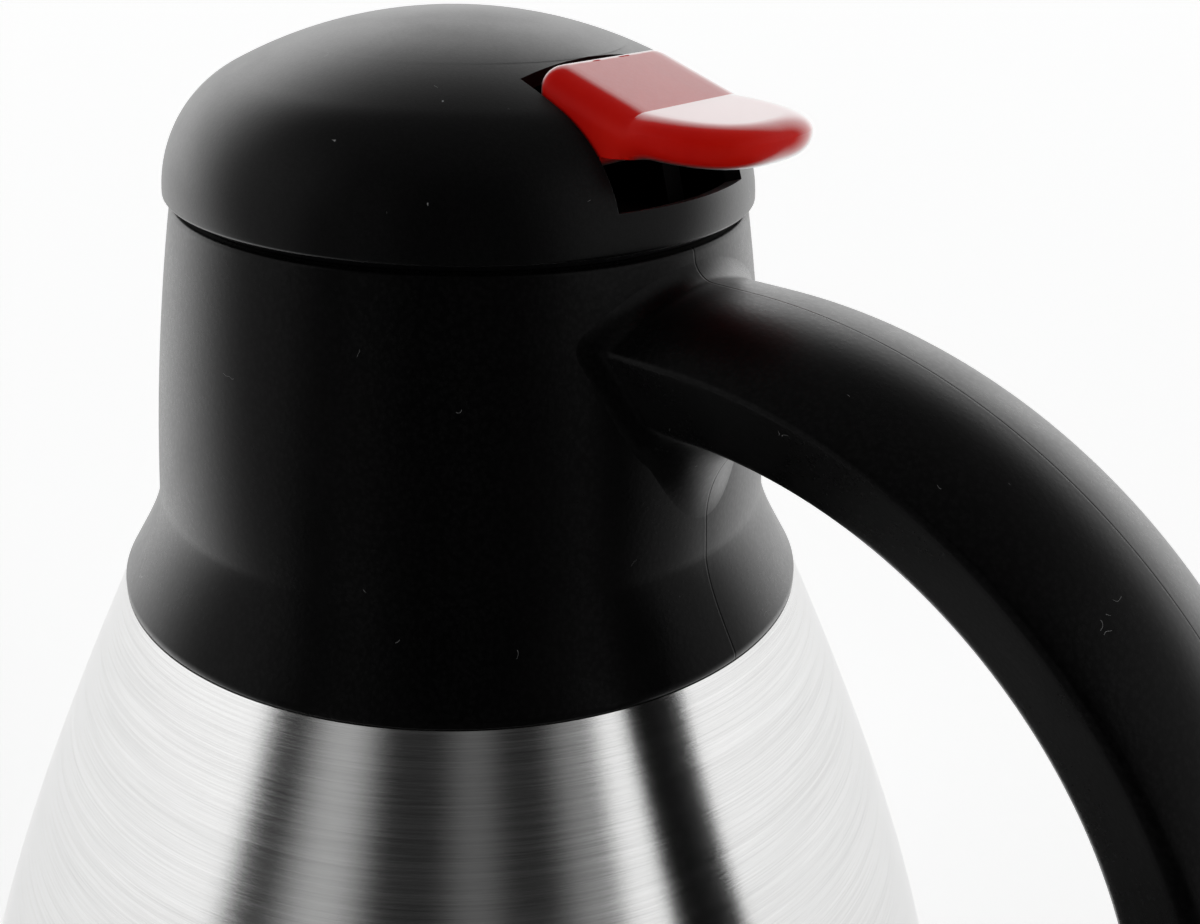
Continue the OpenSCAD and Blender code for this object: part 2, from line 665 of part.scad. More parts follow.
// A plain washer with a slot, pushed on sideways into the stem's groove
module stem_washer() {
    hole = stem_r - 0.5 + run_gap;
    color("silver") translate([0, 0, washer_z + 0.05]) difference() {
        cylinder(r = fork_half + 0.6, h = washer_t - 0.1);
        translate([0, 0, -past]) cylinder(r = hole, h = washer_t + 2 * past);
        translate([-20, -hole * 0.85, -past]) cube([20, 2 * hole * 0.85, washer_t + 2 * past]);
    }
}

module valve_disc() {
    color([0.12, 0.12, 0.13]) difference() {
        rotate_extrude() polygon([[0, disc_z], [disc_r, disc_z], [disc_r, disc_z + 1.4], [disc_r - 1.6,
            disc_z + disc_t],
            [0, disc_z + disc_t]]);
        translate([0, 0, disc_z + 0.2]) cylinder(r = spigot_r + run_gap, h = disc_t);
    }
}

module valve_seal() {
    color([0.85, 0.85, 0.82]) translate([0, 0, seat_z]) difference() {
        cylinder(r = disc_r - 0.4, h = valve_seal_t);
        translate([0, 0, -past]) cylinder(r = 4, h = valve_seal_t + 2 * past);
    }
}

// The spring is one wire wound round the guide tube, from the deck down to the valve disc.
// A ring of the wire is a hexagon square to the helix.
spring_r = tube_r + 0.7 + wire_d / 2;
spring_low = disc_z + disc_t + wire_d / 2 + 0.1;
spring_high = deck_z - wire_d / 2 - 0.1;
turn_steps = 16;
ring_count = spring_turns * turn_steps;
function coil_ring(i) = let (q = 360 * i / turn_steps,
    z = spring_low + (spring_high - spring_low) * i / ring_count,
    rise = atan2((spring_high - spring_low) / spring_turns, 2 * PI * spring_r))
    [for (k = [0:5]) let (a = 60 * k, u = wire_d / 2 * cos(a), v = wire_d / 2 * sin(a))
        [(spring_r + u) * cos(q) + v * sin(rise) * sin(q), (spring_r + u) * sin(q) - v * sin(rise) * cos(q),
        z + v * cos(rise)]];
module valve_spring() {
    points = [for (i = [0:ring_count]) for (p = coil_ring(i)) p];
    sides = [for (i = [0:ring_count - 1]) for (k = [0:5]) let (a = 6 * i + k, b = 6 * i + (k + 1) % 6)
        for (f = [[a, b, b + 6], [a, b + 6, a + 6]]) [f[2], f[1], f[0]]];
    last = 6 * ring_count;
    ends = [for (k = [1:4]) [0, k, k + 1], for (k = [1:4]) [last, last + k + 1, last + k]];
    color("silver") polyhedron(points, concat(sides, [for (f = ends) [f[2], f[1], f[0]]]));
}

outer_shell();
shell_bottom();
vacuum_plug();
inner_flask();
inner_bottom();
base_cup();
foot_pad();
handle_bracket();
handle_screw();
collar_and_handle();
handle_cover();
neck_nut();
mouth_gasket();
pouring_ring();
stopper_cup();
stopper_seal();
stopper_deck();
stem_seal();
dome_cover();
lever();
lever_pin();
valve_stem();
stem_washer();
valve_disc();
valve_seal();
valve_spring();
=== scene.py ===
"""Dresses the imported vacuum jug: skins for its bell, collar, handle, dome, lever and spring, and the light.

The classes hold millimetres. Every mesh is in metres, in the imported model's frame: +Z up the jug's axis, +X
towards the handle.
"""

import enum
import json
import logging
import math
from dataclasses import dataclass, field

import bmesh
import bpy
import numpy as np
from mathutils import Matrix, Vector


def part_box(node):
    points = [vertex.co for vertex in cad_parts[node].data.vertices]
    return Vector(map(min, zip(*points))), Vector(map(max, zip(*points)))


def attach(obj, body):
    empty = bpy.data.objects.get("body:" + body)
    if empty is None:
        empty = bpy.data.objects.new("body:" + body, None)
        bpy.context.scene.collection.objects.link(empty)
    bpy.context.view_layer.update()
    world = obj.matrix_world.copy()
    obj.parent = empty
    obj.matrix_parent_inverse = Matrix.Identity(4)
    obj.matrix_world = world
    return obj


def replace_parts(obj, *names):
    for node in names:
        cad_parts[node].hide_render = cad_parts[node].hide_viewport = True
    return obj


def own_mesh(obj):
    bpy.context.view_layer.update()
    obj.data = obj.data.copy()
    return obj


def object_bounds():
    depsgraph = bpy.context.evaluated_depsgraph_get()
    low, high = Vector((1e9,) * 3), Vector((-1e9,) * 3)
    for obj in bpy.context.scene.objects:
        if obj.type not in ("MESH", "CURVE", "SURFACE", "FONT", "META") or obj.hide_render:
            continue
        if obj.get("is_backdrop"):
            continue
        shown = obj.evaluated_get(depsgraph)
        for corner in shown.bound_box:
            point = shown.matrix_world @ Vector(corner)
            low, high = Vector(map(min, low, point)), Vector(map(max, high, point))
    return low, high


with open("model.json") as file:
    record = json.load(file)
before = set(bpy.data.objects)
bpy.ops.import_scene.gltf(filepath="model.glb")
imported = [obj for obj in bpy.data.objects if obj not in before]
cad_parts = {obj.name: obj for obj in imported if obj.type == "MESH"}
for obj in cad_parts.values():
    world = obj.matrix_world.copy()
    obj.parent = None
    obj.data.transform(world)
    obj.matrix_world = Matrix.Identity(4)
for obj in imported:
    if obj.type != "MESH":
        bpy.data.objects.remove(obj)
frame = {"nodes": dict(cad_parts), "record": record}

LOG = logging.getLogger("jug")
MM = 0.001
Array = np.ndarray
Nodes = bpy.types.NodeTree
Socket = bpy.types.NodeSocket


class Body(enum.Enum):
    """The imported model's rigid bodies that new pieces ride on."""

    JUG = "jug"
    STOPPER = "stopper"
    LEVER = "lever"


class Finish(enum.Enum):
    """The finishes of this jug, by the name of their material slot in the record."""

    STEEL = "brushed_steel"
    INNER_STEEL = "inner_steel"
    SMALL_STEEL = "small_steel"
    COLLAR = "black_plastic"
    DOME = "dome_plastic"
    INNER = "inner_plastic"
    RED = "red_plastic"
    SILICONE = "silicone"
    FOOT = "foot_rubber"


def cubic(a: Array, b: Array, c: Array, d: Array, steps: int) -> Array:
    """Points of a cubic Bezier curve: the four control points weighted by the Bernstein polynomials.

    Args:
        a, b, c, d: Control points of two numbers each.
        steps: Number of spans.

    Returns:
        An array of steps + 1 points.
    """
    t = np.linspace(0.0, 1.0, steps + 1)[:, None]
    u = 1.0 - t
    a, b, c, d = (np.asarray(p, float) for p in (a, b, c, d))
    return u**3 * a + 3 * u**2 * t * b + 3 * u * t**2 * c + t**3 * d


def arc(x: float, z: float, r: float, start: float, end: float, steps: int) -> Array:
    """Points of a circle's arc: the centre plus r times the cosine and sine of the angle, in degrees."""
    q = np.radians(np.linspace(start, end, steps + 1))
    return np.stack([x + r * np.cos(q), z + r * np.sin(q)], 1)


def moved(line: Array, d: float) -> Array:
    """An open line moved sideways by d, each point along the left-hand normal of its neighbours' chord."""
    ahead = np.concatenate([line[1:], line[-1:]])
    behind = np.concatenate([line[:1], line[:-1]])
    t = ahead - behind
    t = t / np.linalg.norm(t, axis=1, keepdims=True)
    return line + d * np.stack([-t[:, 1], t[:, 0]], 1)


def smooth_step(x: Array, low: float, high: float) -> Array:
    """0 below low, 1 above high, and 3t squared minus 2t cubed between them."""
    t = np.clip((np.asarray(x, float) - low) / (high - low), 0.0, 1.0)
    return t * t * (3.0 - 2.0 * t)


def revolved(profile: Array, angles: Array) -> Array:
    """Turns a profile about the jug's axis: each (r, z) becomes (r cos q, r sin q, z) for every angle q.

    Args:
        profile: Points (r, z).
        angles: Angles in radians.

    Returns:
        A grid of points, one row for each profile point.
    """
    r = profile[:, 0][:, None]
    z = np.broadcast_to(profile[:, 1][:, None], (len(profile), len(angles)))
    return np.stack([r * np.cos(angles), r * np.sin(angles), z], 2)


@dataclass(frozen=True)
class Patch:
    """A grid of points in millimetres, shape (rows, columns, 3), that may close on itself."""

    points: Array
    ring_rows: bool = False
    ring_columns: bool = False

    def quads(self, start: int) -> Array:
        """Corner numbers of the grid's quads: each point with the next along its row, its column and both.

        Args:
            start: Number of the patch's first point in the mesh.

        Returns:
            An array of shape (quads, 4).
        """
        rows, columns = self.points.shape[:2]
        index = np.arange(rows * columns).reshape(rows, columns) + start
        if self.ring_rows:
            index = np.concatenate([index, index[:1]], 0)
        if self.ring_columns:
            index = np.concatenate([index, index[:, :1]], 1)
        corners = [index[:-1, :-1], index[:-1, 1:], index[1:, 1:], index[1:, :-1]]
        return np.stack([c.ravel() for c in corners], 1)


def mesh_object(name: str, patches: list[Patch], sharp_deg: float) -> bpy.types.Object:
    """Joins patches into one welded, outward-facing, smooth-shaded mesh object at the origin.

    Args:
        name: The object's name.
        patches: The grids, in millimetres.
        sharp_deg: Edges that turn more than this stay sharp.

    Returns:
        The linked object.
    """
    starts = np.cumsum([0] + [p.points.shape[0] * p.points.shape[1] for p in patches])
    points = np.concatenate([p.points.reshape(-1, 3) for p in patches]) * MM
    faces = np.concatenate([p.quads(int(s)) for p, s in zip(patches, starts)])
    mesh = bpy.data.meshes.new(name)
    mesh.from_pydata(points.tolist(), [], faces.tolist())
    work = bmesh.new()
    work.from_mesh(mesh)
    bmesh.ops.remove_doubles(work, verts=work.verts, dist=2e-6)
    bmesh.ops.dissolve_degenerate(work, edges=work.edges, dist=1e-7)
    bmesh.ops.recalc_face_normals(work, faces=work.faces)
    work.to_mesh(mesh)
    work.free()
    mesh.shade_smooth()
    mesh.set_sharp_from_angle(angle=math.radians(sharp_deg))
    made = bpy.data.objects.new(name, mesh)
    bpy.context.scene.collection.objects.link(made)
    return made


def add_bevel(piece: bpy.types.Object, width: float, angle: float) -> None:
    """Rounds a piece's edges that turn more than an angle in degrees, to a width in millimetres."""
    bevel = piece.modifiers.new("rounded edges", "BEVEL")
    bevel.width = width * MM
    bevel.segments = 2
    bevel.limit_method = "ANGLE"
    bevel.angle_limit = math.radians(angle)
    bevel.harden_normals = True


def add_wall(piece: bpy.types.Object, thickness: float) -> None:
    """Gives an open skin a wall of a thickness in millimetres, inwards from its faces."""
    wall = piece.modifiers.new("wall", "SOLIDIFY")
    wall.thickness = thickness * MM
    wall.offset = -1.0
    wall.use_even_offset = True


class NodeBuilder:
    """Adds shader nodes to a tree and wires them, so that a material reads as a list of steps."""

    def __init__(self, tree: Nodes) -> None:
        """Starts on an empty or a fresh tree."""
        self.tree = tree

    def add(self, kind: str, **settings: object) -> bpy.types.Node:
        """Adds a node of a kind and sets its properties, or its sockets where the name is a socket's.

        Args:
            kind: The node's type name.
            settings: Property or socket names with their values. A socket as a value is wired in.

        Returns:
            The node.
        """
        node = self.tree.nodes.new(kind)
        node.location = (180 * (len(self.tree.nodes) % 12), -220 * (len(self.tree.nodes) // 12))
        for key, value in settings.items():
            if hasattr(node, key) and key not in node.inputs:
                setattr(node, key, value)
        for key, value in settings.items():
            if key in node.inputs:
                self.put(node.inputs[key], value)
        return node

    def put(self, socket: Socket, value: object) -> None:
        """Wires a socket to an output, or sets it to a constant."""
        if isinstance(value, bpy.types.NodeSocket):
            self.tree.links.new(value, socket)
        else:
            socket.default_value = value

    def math(self, operation: str, a: object, b: object = 0.0, c: object = 0.0) -> Socket:
        """One step of arithmetic on up to three numbers or outputs."""
        node = self.tree.nodes.new("ShaderNodeMath")
        node.operation = operation
        for socket, value in zip(node.inputs, (a, b, c)):
            self.put(socket, value)
        return node.outputs[0]

    def ramp(self, value: object, low: float, high: float, out_low: float = 0.0,
             out_high: float = 1.0) -> Socket:
        """A value carried smoothly from one range to another, and held at the ends."""
        node = self.add("ShaderNodeMapRange", interpolation_type="SMOOTHSTEP")
        self.put(node.inputs["Value"], value)
        self.put(node.inputs["From Min"], low)
        self.put(node.inputs["From Max"], high)
        self.put(node.inputs["To Min"], out_low)
        self.put(node.inputs["To Max"], out_high)
        return node.outputs["Result"]

    def blend(self, factor: object, a: object, b: object) -> Socket:
        """A colour between two colours."""
        node = self.tree.nodes.new("ShaderNodeMix")
        node.data_type = "RGBA"
        self.put(node.inputs[0], factor)
        self.put(node.inputs[6], a)
        self.put(node.inputs[7], b)
        return node.outputs[2]


class EffectLibrary:
    """The shader node groups that several finishes share. Each is built once, with named sockets."""

    def __init__(self) -> None:
        """Builds every group."""
        self.grain = self.make_grain()
        self.brushing = self.make_brushing()
        self.parting = self.make_parting()
        self.handling = self.make_handling()

    def new_group(self, name: str, inputs: dict[str, float], outputs: list[str]) -> NodeBuilder:
        """Makes an empty group with number inputs, a vector input and number outputs.

        Args:
            name: The group's name.
            inputs: Input names with their default values.
            outputs: Output names.

        Returns:
            A builder on the group.
        """
        tree = bpy.data.node_groups.new(name, "ShaderNodeTree")
        tree.interface.new_socket("Vector", in_out="INPUT", socket_type="NodeSocketVector")
        for key, value in inputs.items():
            socket = tree.interface.new_socket(key, in_out="INPUT", socket_type="NodeSocketFloat")
            socket.default_value = value
        for key in outputs:
            tree.interface.new_socket(key, in_out="OUTPUT", socket_type="NodeSocketFloat")
        return NodeBuilder(tree)

    def make_grain(self) -> NodeBuilder:
        """Moulded grain: small cells with soft walls over a finer noise, as a height and a pit mask."""
        b = self.new_group("moulded grain", {"Scale": 900.0, "Cell Share": 0.6}, ["Height", "Pits"])
        ends = b.add("NodeGroupInput")
        out = b.add("NodeGroupOutput")
        cells = b.add("ShaderNodeTexVoronoi", feature="SMOOTH_F1", Vector=ends.outputs["Vector"],
                      Scale=ends.outputs["Scale"], Smoothness=0.6, Randomness=1.0)
        fine = b.add("ShaderNodeTexNoise", Vector=ends.outputs["Vector"],
                     Scale=b.math("MULTIPLY", ends.outputs["Scale"], 2.3), Detail=3.0, Roughness=0.6)
        share = ends.outputs["Cell Share"]
        raised = b.math("MULTIPLY", b.math("SUBTRACT", 1.0, cells.outputs["Distance"]), share)
        rest = b.math("MULTIPLY", fine.outputs["Fac"], b.math("SUBTRACT", 1.0, share))
        height = b.math("ADD", raised, rest)
        b.put(out.inputs["Height"], height)
        b.put(out.inputs["Pits"], b.ramp(height, 0.35, 0.75, 1.0, 0.0))
        return b

    def make_brushing(self) -> NodeBuilder:
        """Brush marks round the axis: noise drawn out along X and Y and tight along Z, at two sizes."""
        b = self.new_group("brushing", {"Length": 30.0, "Lines": 7000.0}, ["Height", "Tone"])
        ends = b.add("NodeGroupInput")
        out = b.add("NodeGroupOutput")
        parts = b.add("ShaderNodeSeparateXYZ", Vector=ends.outputs["Vector"])
        heights = []
        for share in (1.0, 0.23):
            lines = b.math("MULTIPLY", ends.outputs["Lines"], share)
            along_x = b.math("MULTIPLY", parts.outputs["X"], ends.outputs["Length"])
            along_y = b.math("MULTIPLY", parts.outputs["Y"], ends.outputs["Length"])
            up = b.math("MULTIPLY", parts.outputs["Z"], lines)
            drawn = b.add("ShaderNodeCombineXYZ", X=along_x, Y=along_y, Z=up)
            noise = b.add("ShaderNodeTexNoise", Vector=drawn.outputs[0], Scale=1.0, Detail=4.0, Roughness=0.7)
            heights.append(noise.outputs["Fac"])
        b.put(out.inputs["Height"], heights[0])
        b.put(out.inputs["Tone"], b.math("ADD", b.math("MULTIPLY", heights[0], 0.6),
                                         b.math("MULTIPLY", heights[1], 0.4)))
        return b

    def make_parting(self) -> NodeBuilder:
        """The mould's parting line in the handle's plane: a groove where Y is near 0 and X past the axis."""
        b = self.new_group("parting line", {"Half Width": 0.00022, "Start X": 0.01}, ["Groove", "Lips"])
        ends = b.add("NodeGroupInput")
        out = b.add("NodeGroupOutput")
        parts = b.add("ShaderNodeSeparateXYZ", Vector=ends.outputs["Vector"])
        away = b.math("ABSOLUTE", parts.outputs["Y"])
        near = b.ramp(b.math("DIVIDE", away, ends.outputs["Half Width"]), 0.25, 1.0, 1.0, 0.0)
        lips = b.ramp(b.math("DIVIDE", away, ends.outputs["Half Width"]), 1.0, 4.5, 1.0, 0.0)
        ahead = b.math("GREATER_THAN", parts.outputs["X"], ends.outputs["Start X"])
        b.put(out.inputs["Groove"], b.math("MULTIPLY", near, ahead))
        b.put(out.inputs["Lips"], b.math("MULTIPLY", lips, ahead))
        return b

    def make_handling(self) -> NodeBuilder:
        """Traces of use: broad smears for the roughness, and a few thin light hairline marks."""
        b = self.new_group("handling", {"Smear Scale": 60.0, "Mark Scale": 380.0}, ["Smear", "Marks"])
        ends = b.add("NodeGroupInput")
        out = b.add("NodeGroupOutput")
        smear = b.add("ShaderNodeTexNoise", Vector=ends.outputs["Vector"], Scale=ends.outputs["Smear Scale"],
                      Detail=5.0, Roughness=0.6, Distortion=0.4)
        warp = b.add("ShaderNodeTexNoise", Vector=ends.outputs["Vector"], Scale=ends.outputs["Mark Scale"],
                     Detail=1.0)
        line = b.math("ABSOLUTE", b.math("SUBTRACT", warp.outputs["Fac"], 0.5))
        place = b.add("ShaderNodeTexNoise", Vector=ends.outputs["Vector"],
                      Scale=b.math("MULTIPLY", ends.outputs["Mark Scale"], 0.9), Detail=0.0)
        thin = b.ramp(line, 0.0, 0.006, 1.0, 0.0)
        few = b.ramp(place.outputs["Fac"], 0.815, 0.825)
        b.put(out.inputs["Smear"], smear.outputs["Fac"])
        b.put(out.inputs["Marks"], b.math("MULTIPLY", thin, few))
        return b


class MaterialMaker:
    """Base of the finishes: a material with its Principled shader and the shared effects at hand."""

    def __init__(self, name: str, effects: EffectLibrary) -> None:
        """Makes the material, its shader and its Object coordinates."""
        self.material = bpy.data.materials.new(name)
        self.material.use_nodes = True
        self.material.node_tree.nodes.clear()
        self.effects = effects
        self.b = NodeBuilder(self.material.node_tree)
        self.shader = self.b.add("ShaderNodeBsdfPrincipled")
        end = self.b.add("ShaderNodeOutputMaterial")
        self.b.put(end.inputs["Surface"], self.shader.outputs["BSDF"])
        self.place = self.b.add("ShaderNodeTexCoord").outputs["Object"]

    def effect(self, group: NodeBuilder, **values: float) -> bpy.types.Node:
        """Places a shared group with its own values.

        Args:
            group: The group's builder.
            values: Input names, with underscores for spaces, and their values.

        Returns:
            The group node.
        """
        node = self.b.tree.nodes.new("ShaderNodeGroup")
        node.node_tree = group.tree
        self.b.put(node.inputs["Vector"], self.place)
        for key, value in values.items():
            self.b.put(node.inputs[key.replace("_", " ")], value)
        return node

    def bump(self, height: object, depth: float, normal: object = None) -> Socket:
        """A Bump node over a height, deep in metres, that may stand on another bump's normal."""
        node = self.b.add("ShaderNodeBump", Strength=1.0, Distance=depth)
        self.b.put(node.inputs["Height"], height)
        if normal is not None:
            self.b.put(node.inputs["Normal"], normal)
        return node.outputs["Normal"]

    def edge_on(self, low: float, high: float, level_low: float, level_high: float, power: float) -> Socket:
        """A specular level that rises as the surface turns away from the eye.

        Args:
            low: Facing value, 0 head on and 1 edge on, where the rise starts.
            high: Facing value where it ends.
            level_low: Level before the rise.
            level_high: Level after it.
            power: Power of the rise.

        Returns:
            The level.
        """
        facing = self.b.add("ShaderNodeLayerWeight", Blend=0.5).outputs["Facing"]
        share = self.b.math("POWER", self.b.ramp(facing, low, high), power)
        return self.b.math("MULTIPLY_ADD", share, level_high - level_low, level_low)

    def set(self, **values: object) -> None:
        """Sets or wires the shader's sockets, with underscores for spaces."""
        for key, value in values.items():
            self.b.put(self.shader.inputs[key.replace("_", " ")], value)


@dataclass(frozen=True)
class PlasticLook:
    """Numbers of a moulded plastic finish."""

    colour: tuple[float, float, float]
    roughness: float
    grain_scale: float
    cell_share: float
    grain_depth: float
    shine: float = 0.12
    parting: bool = False
    marks: float = 0.0


class MouldedPlastic(MaterialMaker):
    """Moulded plastic: grain in the bump and roughness, smears, an optional parting line and a few marks."""

    def __init__(self, name: str, effects: EffectLibrary, look: PlasticLook) -> None:
        """Wires the finish from its look."""
        super().__init__(name, effects)
        b = self.b
        grain = self.effect(effects.grain, Scale=look.grain_scale, Cell_Share=look.cell_share)
        handling = self.effect(effects.handling)
        dark = (*look.colour, 1.0)
        lit = (*(min(1.0, c * 1.35 + 0.002) for c in look.colour), 1.0)
        colour = b.blend(grain.outputs["Pits"], lit, dark)
        normal = self.bump(grain.outputs["Height"], look.grain_depth)
        rough = b.math("ADD", look.roughness, b.math("MULTIPLY", grain.outputs["Pits"], 0.06))
        rough = b.math("ADD", rough, b.ramp(handling.outputs["Smear"], 0.35, 0.7, -0.03, 0.05))
        if look.marks > 0.0:
            marks = b.math("MULTIPLY", handling.outputs["Marks"], look.marks)
            colour = b.blend(marks, colour, (0.5, 0.5, 0.5, 1.0))
        if look.parting:
            line = self.effect(effects.parting)
            colour = b.blend(line.outputs["Groove"], colour, (0.002, 0.002, 0.002, 1.0))
            lips = b.math("MULTIPLY", line.outputs["Lips"], 0.12)
            normal = self.bump(b.math("SUBTRACT", lips, line.outputs["Groove"]), 0.00012, normal=normal)
        self.set(Base_Color=colour, Roughness=rough, Normal=normal,
                 Specular_IOR_Level=self.edge_on(0.24, 0.98, look.shine, look.shine * 52.0, 1.8))


class BrushedSteel(MaterialMaker):
    """Stainless steel brushed round the axis, whose highlights draw out up and down the bell."""

    def __init__(self, name: str, effects: EffectLibrary, tone: float, roughness: float,
                 drawn: float) -> None:
        """Wires the finish: tone is its brightness, and drawn its anisotropy."""
        super().__init__(name, effects)
        b = self.b
        brush = self.effect(effects.brushing)
        handling = self.effect(effects.handling, Smear_Scale=34.0)
        dark = (tone * 0.78, tone * 0.78, tone * 0.775, 1.0)
        light = (tone, tone, tone * 0.995, 1.0)
        rough = b.math("ADD", b.ramp(brush.outputs["Tone"], 0.3, 0.7, roughness - 0.03, roughness + 0.03),
                       b.ramp(handling.outputs["Smear"], 0.4, 0.7, 0.0, 0.02))
        tangent = b.add("ShaderNodeTangent", direction_type="RADIAL", axis="Z")
        colour = b.blend(b.ramp(brush.outputs["Tone"], 0.3, 0.7), dark, light)
        lines = self.bump(brush.outputs["Height"], 0.000009)
        self.set(Base_Color=colour, Metallic=1.0, Roughness=rough, Normal=lines, Anisotropic=drawn,
                 Anisotropic_Rotation=0.25, Tangent=tangent.outputs["Tangent"])


class PlainMetal(MaterialMaker):
    """Small turned and drawn metal pieces."""

    def __init__(self, name: str, effects: EffectLibrary, tone: float, roughness: float) -> None:
        """Wires the finish from its tone and roughness."""
        super().__init__(name, effects)
        grain = self.effect(effects.grain, Scale=2400.0, Cell_Share=0.2)
        rough = self.b.ramp(grain.outputs["Height"], 0.2, 0.8, roughness - 0.05, roughness + 0.08)
        light, dark = ((tone * f, tone * f, tone * f, 1.0) for f in (1.0, 0.8))
        self.set(Base_Color=self.b.blend(grain.outputs["Pits"], light, dark), Metallic=1.0, Roughness=rough,
                 Normal=self.bump(grain.outputs["Height"], 0.000008))


class RedPlastic(MaterialMaker):
    """The lever's semi-gloss red, a little lighter in soft random patches."""

    def __init__(self, name: str, effects: EffectLibrary) -> None:
        """Wires the finish."""
        super().__init__(name, effects)
        b = self.b
        grain = self.effect(effects.grain, Scale=1500.0, Cell_Share=0.35)
        handling = self.effect(effects.handling, Smear_Scale=90.0)
        worn = b.ramp(handling.outputs["Smear"], 0.3, 0.75)
        colour = b.blend(worn, (0.66, 0.006, 0.003, 1.0), (0.72, 0.011, 0.005, 1.0))
        rough = b.math("ADD", 0.3, b.math("MULTIPLY", grain.outputs["Pits"], 0.08))
        self.set(Base_Color=colour, Roughness=rough, Normal=self.bump(grain.outputs["Height"], 0.000018),
                 Specular_IOR_Level=self.edge_on(0.48, 0.92, 0.05, 12.0, 1.0))


class FinishSet:
    """Every finish, made once, by its slot."""

    def __init__(self, effects: EffectLibrary) -> None:
        """Makes the materials."""
        plain = PlasticLook((0.003, 0.003, 0.0033), 0.45, 1400.0, 0.3, 0.00001, 0.02)
        self.materials = {
            Finish.STEEL: BrushedSteel("brushed_steel", effects, 0.88, 0.22, 0.95).material,
            Finish.INNER_STEEL: BrushedSteel("inner_steel", effects, 0.72, 0.34, 0.5).material,
            Finish.SMALL_STEEL: PlainMetal("small_steel", effects, 0.6, 0.3).material,
            Finish.COLLAR: MouldedPlastic("black_plastic", effects, PlasticLook(
                (0.0011, 0.001, 0.0011), 0.27, 1500.0, 0.55, 0.00002, 0.07, True, 0.5)).material,
            Finish.DOME: MouldedPlastic("dome_plastic", effects, PlasticLook(
                (0.0014, 0.0014, 0.0015), 0.31, 2100.0, 0.3, 0.000015, 0.09, False, 0.6)).material,
            Finish.INNER: MouldedPlastic("inner_plastic", effects, plain).material,
            Finish.RED: RedPlastic("red_plastic", effects).material,
            Finish.SILICONE: MouldedPlastic("silicone", effects, PlasticLook(
                (0.62, 0.61, 0.57), 0.55, 1200.0, 0.2, 0.000015, 0.4)).material,
            Finish.FOOT: MouldedPlastic("foot_rubber", effects, PlasticLook(
                (0.018, 0.018, 0.018), 0.7, 900.0, 0.5, 0.00005, 0.2)).material,
        }

    def dress(self, piece: bpy.types.Object, finish: Finish) -> None:
        """Gives a piece one finish."""
        piece.data.materials.clear()
        piece.data.materials.append(self.materials[finish])

    def dress_cad(self) -> int:
        """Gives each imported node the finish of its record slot, and returns how many were dressed."""
        rows = frame["record"].get("subparts", [])
        for row in rows:
            mesh = frame["nodes"][row["node"]].data
            mesh.materials.clear()
            mesh.materials.append(self.materials[Finish(row["material_slot"])])
        return len(rows)


@dataclass(frozen=True)
class SteelBell:
    """The outer steel shell: a bell that leans in towards the collar, its ledge, shoulder and neck."""

    rim_z: float = 119.8
    rim_r: float = 50.0
    bell_r: float = 81.6
    skirt_r: float = 79.2
    skirt_z: float = 9.0
    wall: float = 0.8
    ledge: float = 2.8
    neck_r: float = 33.5
    mouth_z: float = 160.0
    lean: tuple[float, float] = (-0.425, 0.905)

    def side(self, steps: int) -> Array:
        """The bell's outer line (r, z) from its lower edge to the rim, one cubic curve."""
        lean = np.array(self.lean)
        rim = np.array([self.rim_r, self.rim_z])
        foot = (self.skirt_r, self.skirt_z)
        return cubic(foot, (self.bell_r + 7.4, self.skirt_z + 24.0), rim - 39.6 * lean, rim, steps)

    def radius(self, z: Array) -> Array:
        """The bell's outer radius at heights z."""
        line = self.side(200)
        return np.interp(z, line[:, 1], line[:, 0])

    def profile(self) -> Array:
        """The shell's whole section: out and up the bell, in over the ledge, up the neck, and back inside."""
        lean = np.array(self.lean)
        low = np.array([self.rim_r - self.ledge, self.rim_z])
        neck = (self.neck_r, self.mouth_z - 12.0)
        shoulder = cubic(low, low + 12.0 * lean, (self.neck_r, self.mouth_z - 22.0), neck, 16)
        outer = np.concatenate([self.side(110), shoulder, [[self.neck_r, self.mouth_z]]])
        inner = np.concatenate([moved(self.side(40), self.wall), moved(shoulder, self.wall),
                                [[self.neck_r - self.wall, self.mouth_z]]])
        return np.concatenate([outer, inner[::-1]])

    def build(self, finishes: FinishSet) -> bpy.types.Object:
        """Revolves the section and dresses it in brushed steel."""
        angles = np.linspace(0.0, 2.0 * math.pi, 240, endpoint=False)
        piece = mesh_object("steel_bell", [Patch(revolved(self.profile(), angles), True, True)], 40.0)
        finishes.dress(piece, Finish.STEEL)
        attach(piece, Body.JUG.value)
        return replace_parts(piece, "outer_shell")


